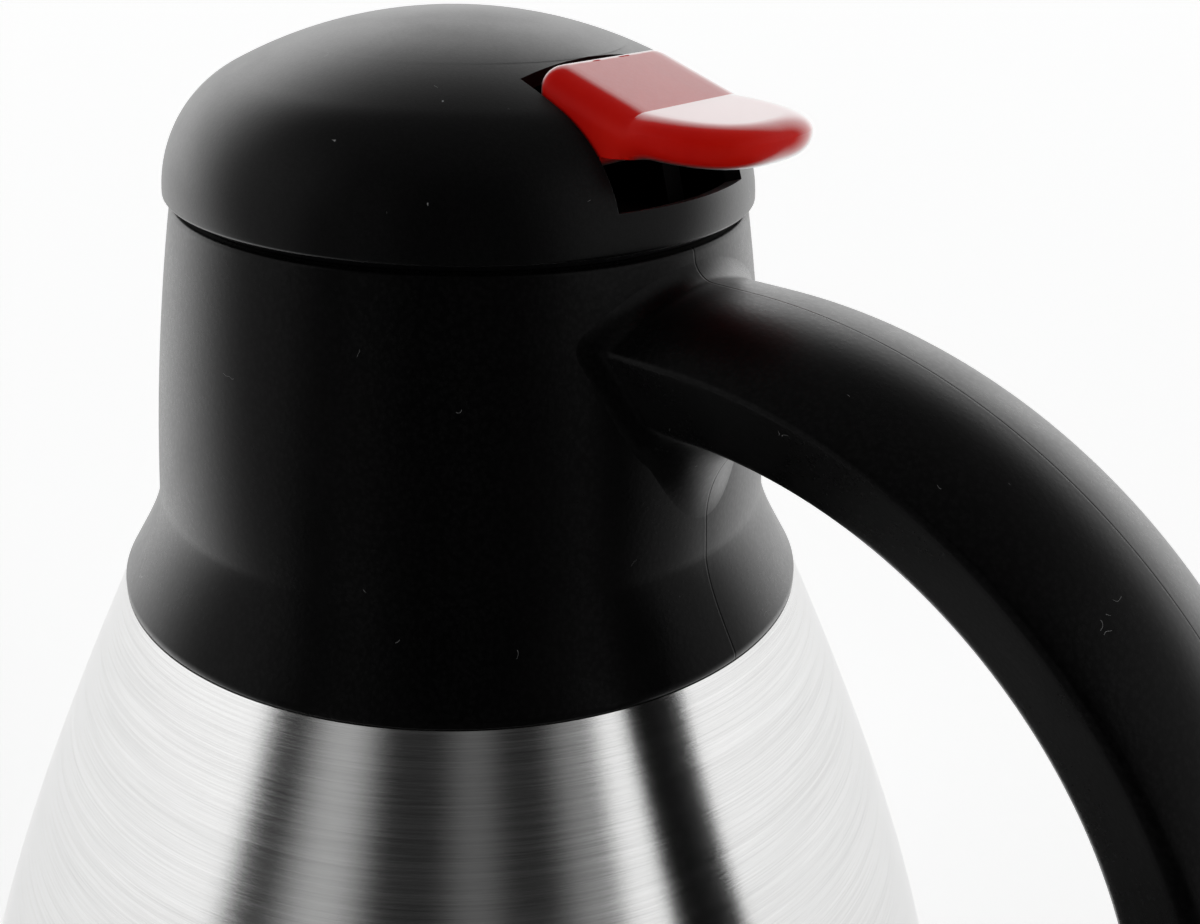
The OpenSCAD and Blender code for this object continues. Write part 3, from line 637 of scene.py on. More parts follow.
@dataclass(frozen=True)
class NeckCollar:
    """The black collar: a neck with a slight bulge over a flare, with a notch for the pouring beak."""

    rim_z: float = 119.8
    rim_r: float = 50.0
    height: float = 55.2
    top_r: float = 39.6
    low_r: float = 44.2
    flare_h: float = 13.8
    bulge: float = 0.6
    wall: float = 2.6
    bore_r: float = 37.3
    nut_z: float = 152.0
    neck_r: float = 33.8
    notch_half: float = 9.0
    notch_z: float = 169.0

    def outer(self) -> Array:
        """The outer line from the rim up: a flare as a cubic, a taper plus a parabola, and a rolled edge."""
        top_z = self.rim_z + self.height
        flare_z = self.rim_z + self.flare_h
        foot = arc(self.rim_r - 0.45, self.rim_z + 0.45, 0.45, -90.0, 0.0, 5)
        flare = cubic((self.rim_r, self.rim_z + 1.1), (self.rim_r - 2.0, self.rim_z + 4.7),
                      (self.low_r + 0.7, flare_z - 4.3), (self.low_r, flare_z), 40)
        t = np.linspace(0.0, 1.0, 61)[1:]
        neck = np.stack([self.low_r + (self.top_r - self.low_r) * t + 4.0 * self.bulge * t * (1.0 - t),
                         flare_z + (top_z - 0.7 - flare_z) * t], 1)
        lip = arc(self.top_r - 0.7, top_z - 0.7, 0.7, 0.0, 90.0, 6)[1:]
        return np.concatenate([foot, flare, neck, lip])

    def radius(self, z: Array) -> Array:
        """The collar's outer radius at heights z."""
        line = self.outer()
        return np.interp(z, line[:, 1], line[:, 0])

    def section(self) -> Array:
        """The closed section: the outer line, the bore down to the flange, and the skirt's inner face."""
        line = self.outer()
        top_z = self.rim_z + self.height
        inside = moved(line, self.wall)
        keep = (inside[:, 1] > self.rim_z + 3.0) & (inside[:, 1] < self.nut_z - 4.0)
        skirt = inside[keep][::-3]
        bore = np.stack([np.full(24, self.bore_r), np.linspace(top_z - 0.4, self.nut_z, 24)], 1)
        rest = np.array([[self.neck_r, self.nut_z], [self.neck_r, self.nut_z - 3.0],
                         [skirt[0][0], self.nut_z - 3.0]])
        end = np.array([[self.rim_r - self.wall, self.rim_z + 1.0], [self.rim_r - self.wall, self.rim_z]])
        return np.concatenate([line, [[self.bore_r + 0.4, top_z]], bore, rest, skirt, end])

    def build(self, finishes: FinishSet) -> bpy.types.Object:
        """Revolves the section, holds z below the notch's floor where the notch is, and dresses it."""
        edge = math.asin(self.notch_half / self.top_r)
        even = np.linspace(-math.pi, math.pi, 288, endpoint=False)
        near = math.pi - edge + np.array([-0.004, 0.0, 0.0005, 0.004])
        angles = np.sort(np.concatenate([even, near, -near]))
        grid = revolved(self.section(), angles)
        inside = (np.abs(np.abs(angles) - math.pi) < edge)[None, :]
        grid[..., 2] = np.where(inside, np.minimum(grid[..., 2], self.notch_z), grid[..., 2])
        piece = mesh_object("collar", [Patch(grid, True, True)], 42.0)
        finishes.dress(piece, Finish.COLLAR)
        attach(piece, Body.JUG.value)
        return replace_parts(piece, "collar_and_handle")


@dataclass(frozen=True)
class ArchedHandle:
    """The handle: a creased section carried round an arc, fanned and flared into the collar at its root."""

    bell: SteelBell
    collar: NeckCollar
    centre_x: float = 48.3
    centre_z: float = 88.8
    crown_r: float = 82.3
    depth: float = 16.7
    crown_h: float = 5.8
    half: float = 16.8
    half_in: float = 11.8
    web_r: float = 16.0
    strip_half: float = 9.3
    strip_t: float = 2.1
    strip_end: float = 77.0
    root_angle: float = 77.6
    fillet: float = 2.6

    def half_section(self, length: Array, recess: Array, soft: Array) -> tuple[Array, Array]:
        """Half of the section at each station, from the inner face's middle to the top of the crown.

        The inner face is flat with a recess for the strip, the side runs straight to the crease, and the
        crown is an arc. Both corners are rounded with a quadratic curve over the corner point.

        Args:
            length: Depth of the section at each station.
            recess: Depth of the strip's recess at each station.
            soft: How far each side of the crease the rounding starts.

        Returns:
            Depth below the crown's top, and half width, each of shape (stations, points).
        """
        n = len(length)
        radius = (self.half**2 + self.crown_h**2) / (2.0 * self.crown_h)
        full = math.asin(self.half / radius)
        one = np.ones(n)
        across = np.append(np.linspace(0.0, self.strip_half - 0.01, 14), self.strip_half)
        sunk = across < self.strip_half
        face_d = length[:, None] - recess[:, None] * sunk
        face_y = across * one[:, None]
        corner = np.stack([length, self.half_in * one], 1)
        crease = np.stack([self.crown_h * one, self.half * one], 1)
        side = crease - corner
        side = side / np.linalg.norm(side, axis=1, keepdims=True)
        t = np.linspace(0.0, 1.0, 7)[None, :, None]
        before = corner - np.array([0.0, 1.6])
        after = corner + 1.6 * side
        low = (1 - t) ** 2 * before[:, None] + 2 * t * (1 - t) * corner[:, None] + t**2 * after[:, None]
        start = crease - soft[:, None] * side
        q_end = full - soft / radius
        stop = np.stack([radius * (1.0 - np.cos(q_end)), radius * np.sin(q_end)], 1)
        up = np.linspace(0.0, 1.0, 12)[None, 1:-1, None]
        straight = after[:, None] * (1 - up) + start[:, None] * up
        bend = (1 - t) ** 2 * start[:, None] + 2 * t * (1 - t) * crease[:, None] + t**2 * stop[:, None]
        q = q_end[:, None] * np.linspace(1.0, 0.0, 22)[None, 1:]
        crown = np.stack([radius * (1.0 - np.cos(q)), radius * np.sin(q)], 2)
        chain = np.concatenate([np.stack([face_d, face_y], 2), low, straight, bend, crown], 1)
        return chain[..., 0], chain[..., 1]

    def arc_part(self) -> Array:
        """The section carried round the arc, from inside the bell to the root, as closed rings of points."""
        angle = np.linspace(-66.0, self.root_angle, 150)
        angle = np.sort(np.concatenate([angle, [self.strip_end - 0.03, self.strip_end + 0.03]]))
        recess = np.where(angle < self.strip_end, self.strip_t, 0.0)
        soft = 0.7 + 1.3 * smooth_step(-angle, -80.0, 10.0)
        d, y = self.half_section(np.full(len(angle), self.depth), recess, soft)
        q = np.radians(angle)[:, None]
        r = self.crown_r - d
        half = np.stack([self.centre_x + r * np.cos(q), y, self.centre_z + r * np.sin(q)], 2)
        return self.cut_at_bell(self.closed(half))

    def closed(self, half: Array) -> Array:
        """A half section at each station, with its mirror image in Y, as a closed ring."""
        other = half[:, ::-1] * np.array([1.0, -1.0, 1.0])
        return np.concatenate([half, other[:, 1:-1]], 1)

    def root_part(self, rows: int) -> Array:
        """The root, from the end of the arc to the collar, with a fillet all round.

        Each line of the handle runs on along its own arc, and then level, until it meets the collar's wall.
        At a gap g from the wall it is moved out along the section's normal by f minus the root of f squared
        less (f less g) squared, a circular fillet. Its radius f is the web's at the middle of the underside,
        and small at the sides and the top. The wall moves as the line does, so a few rounds find the place.

        Args:
            rows: Number of rows.

        Returns:
            The rings of points, the last one just inside the collar.
        """
        d, y = self.half_section(np.array([self.depth]), np.array([0.0]), np.array([0.7]))
        r, y = self.crown_r - d[0], y[0]
        dr, dy = np.gradient(r), np.gradient(y)
        size = np.hypot(dr, dy)
        out_r, out_y = -dy / size, dr / size
        under = smooth_step(d[0], self.depth - 1.7, self.depth - 0.1)
        middle = np.maximum(1.0 - (y / self.half_in) ** 2, 0.0)
        fillet = (self.fillet + (self.web_r - self.fillet) * middle * under)[None, :]
        share = 1.0 - (1.0 - np.linspace(0.0, 1.0, rows + 1)[1:, None]) ** 1.7
        start = self.centre_x + r * math.cos(math.radians(self.root_angle))
        wall = np.full((rows, len(r)), self.collar.top_r)
        for _ in range(30):
            x = start + (wall - start) * share
            gap = np.clip(x - wall, 0.0, fillet)
            spread = fillet - np.sqrt(np.maximum(fillet**2 - (fillet - gap) ** 2, 0.0))
            new_r, new_y = r + out_r * spread, y + out_y * spread
            z = self.centre_z + np.sqrt(new_r**2 - np.maximum(x - self.centre_x, 0.0) ** 2)
            wall = np.sqrt(np.maximum(self.collar.radius(z) ** 2 - new_y**2, 1.0)) - 0.04
        return self.closed(np.stack([x, new_y, z], 2))

    def cut_at_bell(self, ring: Array) -> Array:
        """Ends each line of the handle on the bell, by squeezing its lower stations up to the steel.

        Args:
            ring: The grid, one row for each station.

        Returns:
            The grid with its first row on the bell.
        """
        gap = np.hypot(ring[..., 0], ring[..., 1]) - (self.bell.radius(ring[..., 2]) + 0.1)
        first = np.argmax(gap > 0.0, axis=0)
        before = np.maximum(first - 1, 0)
        columns = np.arange(ring.shape[1])
        g0, g1 = gap[before, columns], gap[first, columns]
        start = before - g0 / np.where(g1 - g0 > 1e-9, g1 - g0, 1.0)
        last = 60.0
        rows = np.arange(ring.shape[0])[:, None]
        source = np.where(rows < last, start + (last - start) * rows / last, rows)
        floor = np.clip(np.floor(source).astype(int), 0, ring.shape[0] - 2)
        part = (source - floor)[..., None]
        return ring[floor, columns] * (1 - part) + ring[floor + 1, columns] * part

    def build(self, finishes: FinishSet) -> list[bpy.types.Object]:
        """Makes the handle and its closing strip."""
        grid = np.concatenate([self.arc_part(), self.root_part(48)])
        low, high = grid[0], grid[-1] - np.array([0.4, 0.0, 0.0])
        near = [low + (low.mean(0) - low) * f for f in (1.0, 0.6, 0.3)]
        far = [high + (high.mean(0) - high) * f for f in (0.0, 0.3, 0.6, 1.0)]
        grid = np.concatenate([np.stack(near), grid, np.stack(far)])
        handle = mesh_object("handle", [Patch(grid, False, True)], 34.0)
        strip = mesh_object("handle_strip", [Patch(self.strip_surface(), False, True)], 34.0)
        for piece in (handle, strip):
            finishes.dress(piece, Finish.COLLAR)
            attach(piece, Body.JUG.value)
        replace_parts(handle, "collar_and_handle")
        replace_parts(strip, "handle_cover")
        return [handle, strip]

    def strip_surface(self) -> Array:
        """The strip in the channel's mouth: a flat bar with rounded edges carried round the inner arc."""
        inner = self.crown_r - self.depth
        half = self.strip_half - 0.18
        corner = arc(half - 0.4, 0.4, 0.4, -90.0, 0.0, 4)
        back = np.array([[half, self.strip_t - 0.15], [-half, self.strip_t - 0.15]])
        loop = np.concatenate([corner, back, corner[::-1] * np.array([-1.0, 1.0])])
        angle = np.radians(np.linspace(-66.0, self.strip_end - 0.3, 120))[:, None]
        r = inner + 0.02 + loop[None, :, 1]
        x = self.centre_x + r * np.cos(angle)
        grid = np.stack([x, np.broadcast_to(loop[:, 0], x.shape), self.centre_z + r * np.sin(angle)], 2)
        grid = self.cut_at_bell(grid)
        caps = [grid[k].mean(0)[None, None].repeat(grid.shape[1], 1) for k in (0, -1)]
        return np.concatenate([caps[0], grid, caps[1]])


@dataclass(frozen=True)
class StopperDome:
    """The domed cover with the lever's slot, and the cheeks on both sides of the slot."""

    edge_z: float = 176.1
    edge_r: float = 40.3
    height: float = 23.7
    shoulder_r: float = 18.1
    wall: float = 2.2
    slot_half: float = 12.7
    slot_back: float = 21.8
    band_h: float = 5.1
    cheek_t: float = 1.6

    def line(self) -> Array:
        """The outer line (r, z above the edge) from the top: a flat cap that runs into a round shoulder."""
        x = self.edge_r - self.shoulder_r
        rise = self.height - self.shoulder_r
        centre = (rise * rise - x * x) / (2.0 * rise)
        join = math.degrees(math.atan2(-centre, x))
        cap = arc(0.0, centre, self.height - centre, 90.0, join, 160)
        shoulder = arc(x, 0.0, self.shoulder_r, join, 0.0, 200)[1:]
        return np.concatenate([cap, shoulder])

    def height_at(self, r: Array) -> Array:
        """Height of the outer surface above the edge, at distances r from the axis."""
        line = self.line()
        return np.interp(r, line[:, 0], line[:, 1])

    def skin(self) -> list[Patch]:
        """The outer skin as two grids that share an edge: the part round the slot, and the band under it.

        On a ring of radius r the slot starts at the angle whose cosine is the back edge over r, until the
        side edge is reached, and then at the angle whose sine is half the width over r.
        """
        line = self.line()
        corner = math.hypot(self.slot_back, self.slot_half)
        band_r = float(np.interp(-self.band_h, -line[:, 1], line[:, 0]))
        cap_r = np.concatenate([np.linspace(0.0, self.slot_back, 26),
                                np.linspace(self.slot_back, corner, 9)[1:],
                                np.linspace(corner, 36.0, 22)[1:]])
        cap_z = self.height_at(cap_r)
        low_z = np.linspace(float(cap_z[-1]), self.band_h, 14)[1:]
        low_r = np.interp(-low_z, -line[:, 1], line[:, 0])
        r = np.concatenate([cap_r, low_r])
        z = np.concatenate([cap_z, low_z])
        back = np.arccos(np.clip(self.slot_back / np.maximum(r, 1e-6), -1.0, 1.0))
        side = np.arcsin(np.clip(self.slot_half / np.maximum(r, 1e-6), -1.0, 1.0))
        start = np.where(r <= self.slot_back, 0.0, np.where(r <= corner, back, side))
        u = np.linspace(0.0, 1.0, 221)[None, :]
        q = start[:, None] + (2.0 * math.pi - 2.0 * start[:, None]) * u
        main = np.stack([r[:, None] * np.cos(q), r[:, None] * np.sin(q),
                         np.broadcast_to(z[:, None], q.shape) + self.edge_z], 2)
        band_start = math.asin(self.slot_half / band_r)
        ring = np.concatenate([q[-1], 2.0 * math.pi + np.linspace(-band_start, band_start, 26)[1:-1]])
        foot_z = np.linspace(self.band_h, 0.5, 10)
        foot_r = np.interp(-foot_z, -line[:, 1], line[:, 0])
        foot = np.stack([foot_r, foot_z], 1)
        roll = arc(self.edge_r - 0.5, 0.5, 0.5, 0.0, -90.0, 5)[1:]
        band = revolved(np.concatenate([foot, roll]), ring)
        band[..., 2] += self.edge_z
        return [Patch(main), Patch(band, False, True)]

    def cheeks(self) -> list[Patch]:
        """Two plates beside the slot, from the deck up to the dome, as a closed loop carried along X."""
        x = np.linspace(self.slot_back, self.edge_r - 4.2, 30)
        made = []
        for sign in (-1.0, 1.0):
            inner = sign * (self.slot_half + 0.02)
            outer = sign * (self.slot_half + self.cheek_t)
            top = self.edge_z + self.height_at(np.hypot(x, abs(outer))) - 0.9
            low = np.full_like(x, self.edge_z + 2.3)
            loop = [(inner, low), (inner, top), (outer, top), (outer, low)]
            rows = [np.stack([x, np.full_like(x, y), z], 1) for y, z in loop]
            made.append(Patch(np.stack(rows, 1), False, True))
        return made

    def build(self, finishes: FinishSet) -> list[bpy.types.Object]:
        """Makes the dome with its wall and rounded slot edges, and the cheeks."""
        dome = mesh_object("dome", self.skin(), 50.0)
        add_wall(dome, self.wall)
        add_bevel(dome, 0.18, 60.0)
        cheeks = mesh_object("slot_cheeks", self.cheeks(), 30.0)
        for piece in (dome, cheeks):
            finishes.dress(piece, Finish.DOME)
            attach(piece, Body.STOPPER.value)
            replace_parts(piece, "dome_cover")
        return [dome, cheeks]


@dataclass(frozen=True)
class PressLever:
    """The red lever: a sloping pad that bends into a level, round-tipped tab."""

    edge_z: float = 176.1
    back_x: float = 23.7
    bend_x: float = 37.6
    tip_x: float = 52.0
    half: float = 12.4
    back_h: float = 20.9
    bend_h: float = 16.4
    tab_t: float = 5.2
    power: float = 2.8
    flat_half: float = 8.6
    under_half: float = 8.8
    edge_h: float = 2.0
    foot_h: float = 11.2
    arm_half: float = 5.4
    fork_in: float = 3.3
    fork_out: float = 6.6

    def top(self, x: Array) -> Array:
        """Height of the top above the dome's edge: a slope down to the bend, then a nearly level tab."""
        slope = (self.back_h - self.bend_h) / (self.bend_x - self.back_x)
        level = self.bend_h - 0.03 * (x - self.bend_x)
        return np.where(x < self.bend_x, self.bend_h + (self.bend_x - x) * slope, level)

    def outline(self, half: float, back: float, tip: float, r: float) -> Array:
        """A plan outline: the back, its rounded corners, straight sides, and a superellipse from bend to tip.

        The superellipse is the reach times the cosine to the power 2/n, and the half width times the sine's.

        Args:
            half: Half width.
            back: X of the back edge.
            tip: X of the tip.
            r: Radius of the back corners.

        Returns:
            A closed loop, with the same number of points for any sizes.
        """
        rear = np.stack([np.full(8, back), np.linspace(0.0, half - r, 8)], 1)
        corner = arc(back + r, half - r, r, 180.0, 90.0, 8)[1:]
        side = np.stack([np.linspace(back + r, self.bend_x, 14)[1:], np.full(13, half)], 1)
        q = np.linspace(math.pi / 2.0, 0.0, 1500)
        front = np.stack([self.bend_x + (tip - self.bend_x) * np.cos(q) ** (2.0 / self.power),
                          half * np.sin(q) ** (2.0 / self.power)], 1)
        run = np.concatenate([[0.0], np.cumsum(np.linalg.norm(np.diff(front, axis=0), axis=1))])
        at = np.linspace(0.0, run[-1], 60)[1:]
        even = np.stack([np.interp(at, run, front[:, 0]), np.interp(at, run, front[:, 1])], 1)
        line = np.concatenate([rear, corner, side, even])
        return np.concatenate([line, line[-2:0:-1] * np.array([1.0, -1.0])])

    def surface(self) -> list[Patch]:
        """The lever's closed skin.

        A quarter ellipse leads from the flat's outline down to the outer one. Below it the tab's belly curls
        under to the bottom outline, while the pad's side runs straight down. The two blend at the bend.

        Returns:
            The skin's levels, the flat top and the underside.
        """
        outer = self.outline(self.half, self.back_x, self.tip_x, 2.2)
        flat = self.outline(self.flat_half, self.back_x + 2.1, self.tip_x - 3.2, 0.8)
        under = self.outline(self.under_half, self.back_x + 0.4, self.tip_x - 3.5, 1.8)
        w = smooth_step(outer[:, 0], self.bend_x - 2.0, self.bend_x + 3.0)[None, :, None]
        q = np.linspace(0.0, math.pi / 2.0, 10)[:, None, None]
        edge = flat + (outer - flat) * np.sin(q)
        edge_d = (1.0 - np.cos(q)) * (3.0 + (self.edge_h - 3.0) * w)
        t = np.linspace(0.0, 1.0, 11)[1:, None, None]
        curl = cubic((0.0, 0.0), (-0.03, 0.5), (0.25, 0.94), (1.0, 1.0), 10)[1:, :, None, None]
        belly = outer + (under - outer) * curl[:, 0] * w
        level = self.top(belly[..., :1])
        belly_d = (self.edge_h + (self.tab_t - self.edge_h) * curl[:, 1]) * w
        belly_d = belly_d + (3.0 + t * (level - 3.0 - self.foot_h)) * (1.0 - w)
        plan = np.concatenate([edge, belly])
        depth = np.concatenate([edge_d, belly_d])
        skin = np.concatenate([plan, self.top(plan[..., :1]) - depth + self.edge_z], 2)
        f = np.linspace(1.0, 0.0, 9)[:, None]
        fills = []
        for row in (0, -1):
            x = np.broadcast_to(skin[row, :, 0], (9, len(outer)))
            low = np.broadcast_to(skin[row, :, 2], x.shape)
            z = self.top(x) + self.edge_z if row == 0 else low
            fills.append(Patch(np.stack([x, skin[row, :, 1] * f, z], 2), False, True))
        return [Patch(skin, False, True), *fills]

    def arm(self) -> list[Patch]:
        """The arm under the pad: hub, arm and forked nose, as side outlines carried across the lever."""
        hub = arc(25.0, 10.5, 3.5, 0.0, 330.0, 22)
        bar = np.array([[27.0, 12.9], [27.0, 8.5], [8.0, 8.5], [5.0, 8.5], [5.0, 11.6], [14.0, 12.0]])
        nose = np.concatenate([[[13.0, 11.6], [13.0, 8.8]], arc(0.0, 10.4, 1.9, -100.0, -260.0, 12)])
        post = np.array([[25.3, 17.9], [33.0, 14.4], [28.5, 9.5], [21.5, 10.5]])
        made = []
        body = (-self.arm_half, self.arm_half)
        left, right = (-self.fork_out, -self.fork_in), (self.fork_in, self.fork_out)
        for side, (low, high) in ((hub, body), (bar, body), (post, body), (nose, right), (nose, left)):
            count = len(side)
            mid = np.broadcast_to(side.mean(0), side.shape)
            rows = [np.stack([p[:, 0], np.full(count, y), p[:, 1] + self.edge_z], 1)
                    for p, y in ((mid, low), (side, low), (side, high), (mid, high))]
            made.append(Patch(np.stack(rows), False, True))
        return made

    def build(self, finishes: FinishSet) -> list[bpy.types.Object]:
        """Makes the red lever and the arm under it."""
        lever = mesh_object("press_lever", self.surface(), 15.0)
        arm = mesh_object("lever_arm", self.arm(), 30.0)
        for piece in (lever, arm):
            finishes.dress(piece, Finish.RED)
            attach(piece, Body.LEVER.value)
            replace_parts(piece, "lever")
        return [lever, arm]


@dataclass(frozen=True)
class ValveSpring:
    """The valve's coil spring: a round wire in a helix."""

    wire: float = 0.9
    turns: int = 8
    deck_z: float = 175.0
    lift: float = 5.3

    def surface(self, low: float, high: float, radius: float) -> Array:
        """A circle of the wire's radius carried along a helix, square to it, with its ends closed.

        Args:
            low: Height of the wire's middle at the lower end.
            high: Height of the wire's middle at the upper end.
            radius: Radius of the helix.

        Returns:
            The grid of points, one row for each step along the wire.
        """
        q = np.linspace(0.0, 2.0 * math.pi * self.turns, 40 * self.turns + 1)[:, None]
        round_wire = np.linspace(0.0, 2.0 * math.pi, 12, endpoint=False)[None, :]
        rise = math.atan2(high - low, 2.0 * math.pi * radius * self.turns)
        out = self.wire / 2.0 * np.cos(round_wire)
        up = self.wire / 2.0 * np.sin(round_wire)
        x = (radius + out) * np.cos(q) + up * math.sin(rise) * np.sin(q)
        y = (radius + out) * np.sin(q) - up * math.sin(rise) * np.cos(q)
        z = low + (high - low) * q / q[-1] + up * math.cos(rise)
        grid = np.stack([x, y, z], 2)
        ends = [np.broadcast_to(grid[k].mean(0), grid[k].shape)[None] for k in (0, -1)]
        return np.concatenate([ends[0], grid, ends[1]])

    def build(self, finishes: FinishSet) -> bpy.types.Object:
        """Winds the spring in its packed box."""
        corner_low, corner_high = (np.array(corner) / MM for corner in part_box("valve_spring"))
        half = self.wire / 2.0
        grid = self.surface(corner_low[2] + half, corner_high[2] - half, corner_high[0] - half)
        spring = mesh_object("spring_coil", [Patch(grid, False, True)], 60.0)
        finishes.dress(spring, Finish.SMALL_STEEL)
        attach(spring, Body.STOPPER.value)
        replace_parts(spring, "valve_spring")
        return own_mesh(spring)


@dataclass(frozen=True)
class Panel:
    """A soft panel round the jug: its angle from the camera's side, half width and soft edge in degrees."""

    angle: float
    half: float
    soft: float
    level: float


@dataclass(frozen=True)
class Studio:
    """A pale floor, white panels all round but for the dark on the camera's side, and the photo's camera."""

    standing: tuple[Panel, ...] = (Panel(-123.0, 60.0, 4.0, 1.15), Panel(112.0, 71.0, 5.0, 1.1),
                                   Panel(-37.0, 2.0, 13.0, 0.45), Panel(1.5, 1.0, 11.0, 0.11),
                                   Panel(33.0, 1.0, 12.0, 0.24))
    dark: float = 0.012
    top_level: float = 0.3
    camera_turn: float = -45.93
    camera_back: float = 206.3
    camera_z: float = 225.3
    pitch: float = 23.8
    yaw: float = 5.60
    roll: float = 1.81
    focal_px: float = 1498.0
    image_px: float = 1200.0
    floor_half: float = 6000.0

    def camera(self) -> bpy.types.Object:
        """Places the camera from its distance, height and three angles."""
        data = bpy.data.cameras.new("photo_camera")
        data.sensor_width = 36.0
        data.lens = self.focal_px / self.image_px * 36.0
        data.clip_start = 0.005
        data.clip_end = 50.0
        pitch, yaw, roll = (math.radians(a) for a in (self.pitch, self.yaw, self.roll))
        ahead = Vector((math.sin(yaw) * math.cos(pitch), math.cos(yaw) * math.cos(pitch), -math.sin(pitch)))
        right = Vector((math.cos(yaw), -math.sin(yaw), 0.0))
        up = right.cross(ahead)
        level_right = math.cos(roll) * right + math.sin(roll) * up
        up = math.cos(roll) * up - math.sin(roll) * right
        turn = Matrix.Rotation(math.radians(90.0 + self.camera_turn), 3, "Z")
        axes = Matrix((turn @ level_right, turn @ up, turn @ -ahead)).transposed()
        place = turn @ Vector((0.0, -self.camera_back, 0.0)) + Vector((0.0, 0.0, self.camera_z))
        made = bpy.data.objects.new("photo_camera", data)
        made.matrix_world = Matrix.Translation(place * MM) @ axes.to_4x4()
        bpy.context.scene.collection.objects.link(made)
        bpy.context.scene.camera = made
        return made

    def panels(self, b: NodeBuilder, x: Socket, y: Socket) -> Socket:
        """The level of the soft panels that stand round the jug, at a direction or a place (x, y).

        Each panel is as bright as its level up to its half width from its own angle to the camera's side, and
        fades out smoothly over its soft edge. The brightest panel counts.

        Args:
            b: The builder of the tree.
            x: X of the direction.
            y: Y of the direction.

        Returns:
            The level.
        """
        c, s = math.cos(math.radians(self.camera_turn)), math.sin(math.radians(self.camera_turn))
        ahead = b.math("ADD", b.math("MULTIPLY", x, c), b.math("MULTIPLY", y, s))
        aside = b.math("SUBTRACT", b.math("MULTIPLY", y, c), b.math("MULTIPLY", x, s))
        angle = b.math("ARCTAN2", aside, ahead)
        level: Socket | float = self.dark
        for panel in self.standing:
            away = b.math("ABSOLUTE", b.math("SUBTRACT", angle, math.radians(panel.angle)))
            edge = math.radians(panel.half)
            shone = b.ramp(away, edge, edge + math.radians(panel.soft), panel.level, 0.0)
            level = b.math("MAXIMUM", level, shone)
        return level

    def world(self) -> None:
        """Lights the scene with the panels and a soft top, and shows plain white to the camera."""
        world = bpy.data.worlds.new("studio")
        bpy.context.scene.world = world
        world.use_nodes = True
        world.node_tree.nodes.clear()
        b = NodeBuilder(world.node_tree)
        parts = b.add("ShaderNodeSeparateXYZ", Vector=b.add("ShaderNodeTexCoord").outputs["Generated"])
        level = self.panels(b, parts.outputs["X"], parts.outputs["Y"])
        level = b.math("MULTIPLY", level, b.ramp(parts.outputs["Z"], 0.5, 0.86, 1.0, self.top_level))
        light = b.math("MAXIMUM", level, b.ramp(parts.outputs["Z"], 0.6, 1.0, 0.0, self.top_level))
        seen = b.add("ShaderNodeLightPath").outputs["Is Camera Ray"]
        strength = b.math("ADD", b.math("MULTIPLY", light, b.math("SUBTRACT", 1.0, seen)), seen)
        back = b.add("ShaderNodeBackground", Color=(1.0, 1.0, 1.0, 1.0), Strength=strength)
        end = b.add("ShaderNodeOutputWorld")
        b.put(end.inputs["Surface"], back.outputs[0])

    def floor(self) -> bpy.types.Object:
        """A wide pale floor. To the camera it glows a little, so that it is white where no shadow falls."""
        line = np.linspace(-self.floor_half, self.floor_half, 3)
        x, y = np.meshgrid(line, line)
        floor = mesh_object("floor", [Patch(np.stack([x, y, np.zeros_like(x)], 2))], 30.0)
        material = bpy.data.materials.new("floor")
        material.use_nodes = True
        material.node_tree.nodes.clear()
        b = NodeBuilder(material.node_tree)
        shader = b.add("ShaderNodeBsdfPrincipled")
        b.put(shader.inputs["Roughness"], 0.7)
        b.put(shader.inputs["Emission Color"], (1.0, 1.0, 1.0, 1.0))
        path = b.add("ShaderNodeLightPath")
        parts = b.add("ShaderNodeSeparateXYZ", Vector=b.add("ShaderNodeTexCoord").outputs["Object"])
        level = b.math("MINIMUM", self.panels(b, parts.outputs["X"], parts.outputs["Y"]), 1.0)
        glossy = path.outputs["Is Glossy Ray"]
        flagged = b.math("MULTIPLY", glossy, b.math("SUBTRACT", 1.0, level))
        b.put(shader.inputs["Base Color"], b.blend(flagged, (0.9, 0.9, 0.9, 1.0), (0.02, 0.02, 0.02, 1.0)))
        glow = b.math("MAXIMUM", path.outputs["Is Camera Ray"], b.math("MULTIPLY", glossy, level))
        b.put(shader.inputs["Emission Strength"], b.math("MULTIPLY", glow, 0.45))
        end = b.add("ShaderNodeOutputMaterial")
        b.put(end.inputs["Surface"], shader.outputs[0])
        floor.data.materials.append(material)
        floor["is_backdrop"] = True
        return floor

    def build(self) -> None:
        """Sets the view transform and builds the whole studio."""
        bpy.context.scene.view_settings.view_transform = "Standard"
        self.world()
        self.floor()
        self.camera()


@dataclass
class Jug:
    """The whole jug: builds each sub-assembly in order and reports it."""

    finishes: FinishSet
    bell: SteelBell = field(default_factory=SteelBell)
    collar: NeckCollar = field(default_factory=NeckCollar)
    dome: StopperDome = field(default_factory=StopperDome)
    lever: PressLever = field(default_factory=PressLever)
    spring: ValveSpring = field(default_factory=ValveSpring)

    def build(self) -> None:
        """Builds and reports every piece."""
        LOG.info("dressed %d packed nodes", self.finishes.dress_cad())
        self.report([self.bell.build(self.finishes), self.collar.build(self.finishes)])
        self.report(ArchedHandle(self.bell, self.collar).build(self.finishes))
        self.report(self.dome.build(self.finishes))
        self.report([*self.lever.build(self.finishes), self.spring.build(self.finishes)])

    def report(self, pieces: list[bpy.types.Object]) -> None:
        """Logs each piece's name and its number of faces."""
        for piece in pieces:
            LOG.info("%s: %d faces", piece.name, len(piece.data.polygons))


def corners() -> list[list[float]]:
    """The shown object's box as two plain lists."""
    return [list(corner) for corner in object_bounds()]


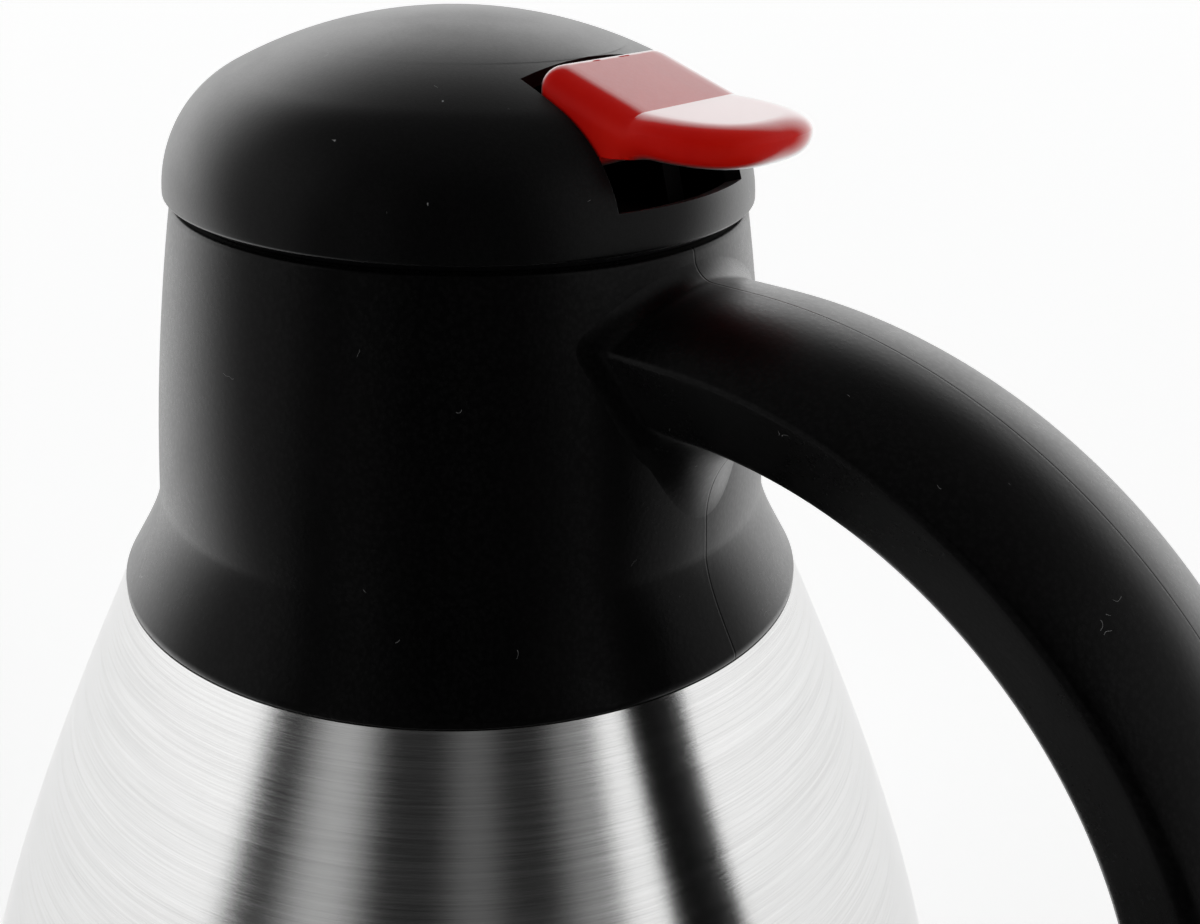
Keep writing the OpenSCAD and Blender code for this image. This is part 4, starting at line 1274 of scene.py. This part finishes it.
def main() -> None:
    """Builds the studio and the jug."""
    logging.basicConfig(level=logging.INFO, format="%(name)s: %(message)s")
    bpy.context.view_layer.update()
    effects = EffectLibrary()
    Jug(FinishSet(effects)).build()
    Studio().build()
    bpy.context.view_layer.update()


if __name__ == "__main__":
    main()
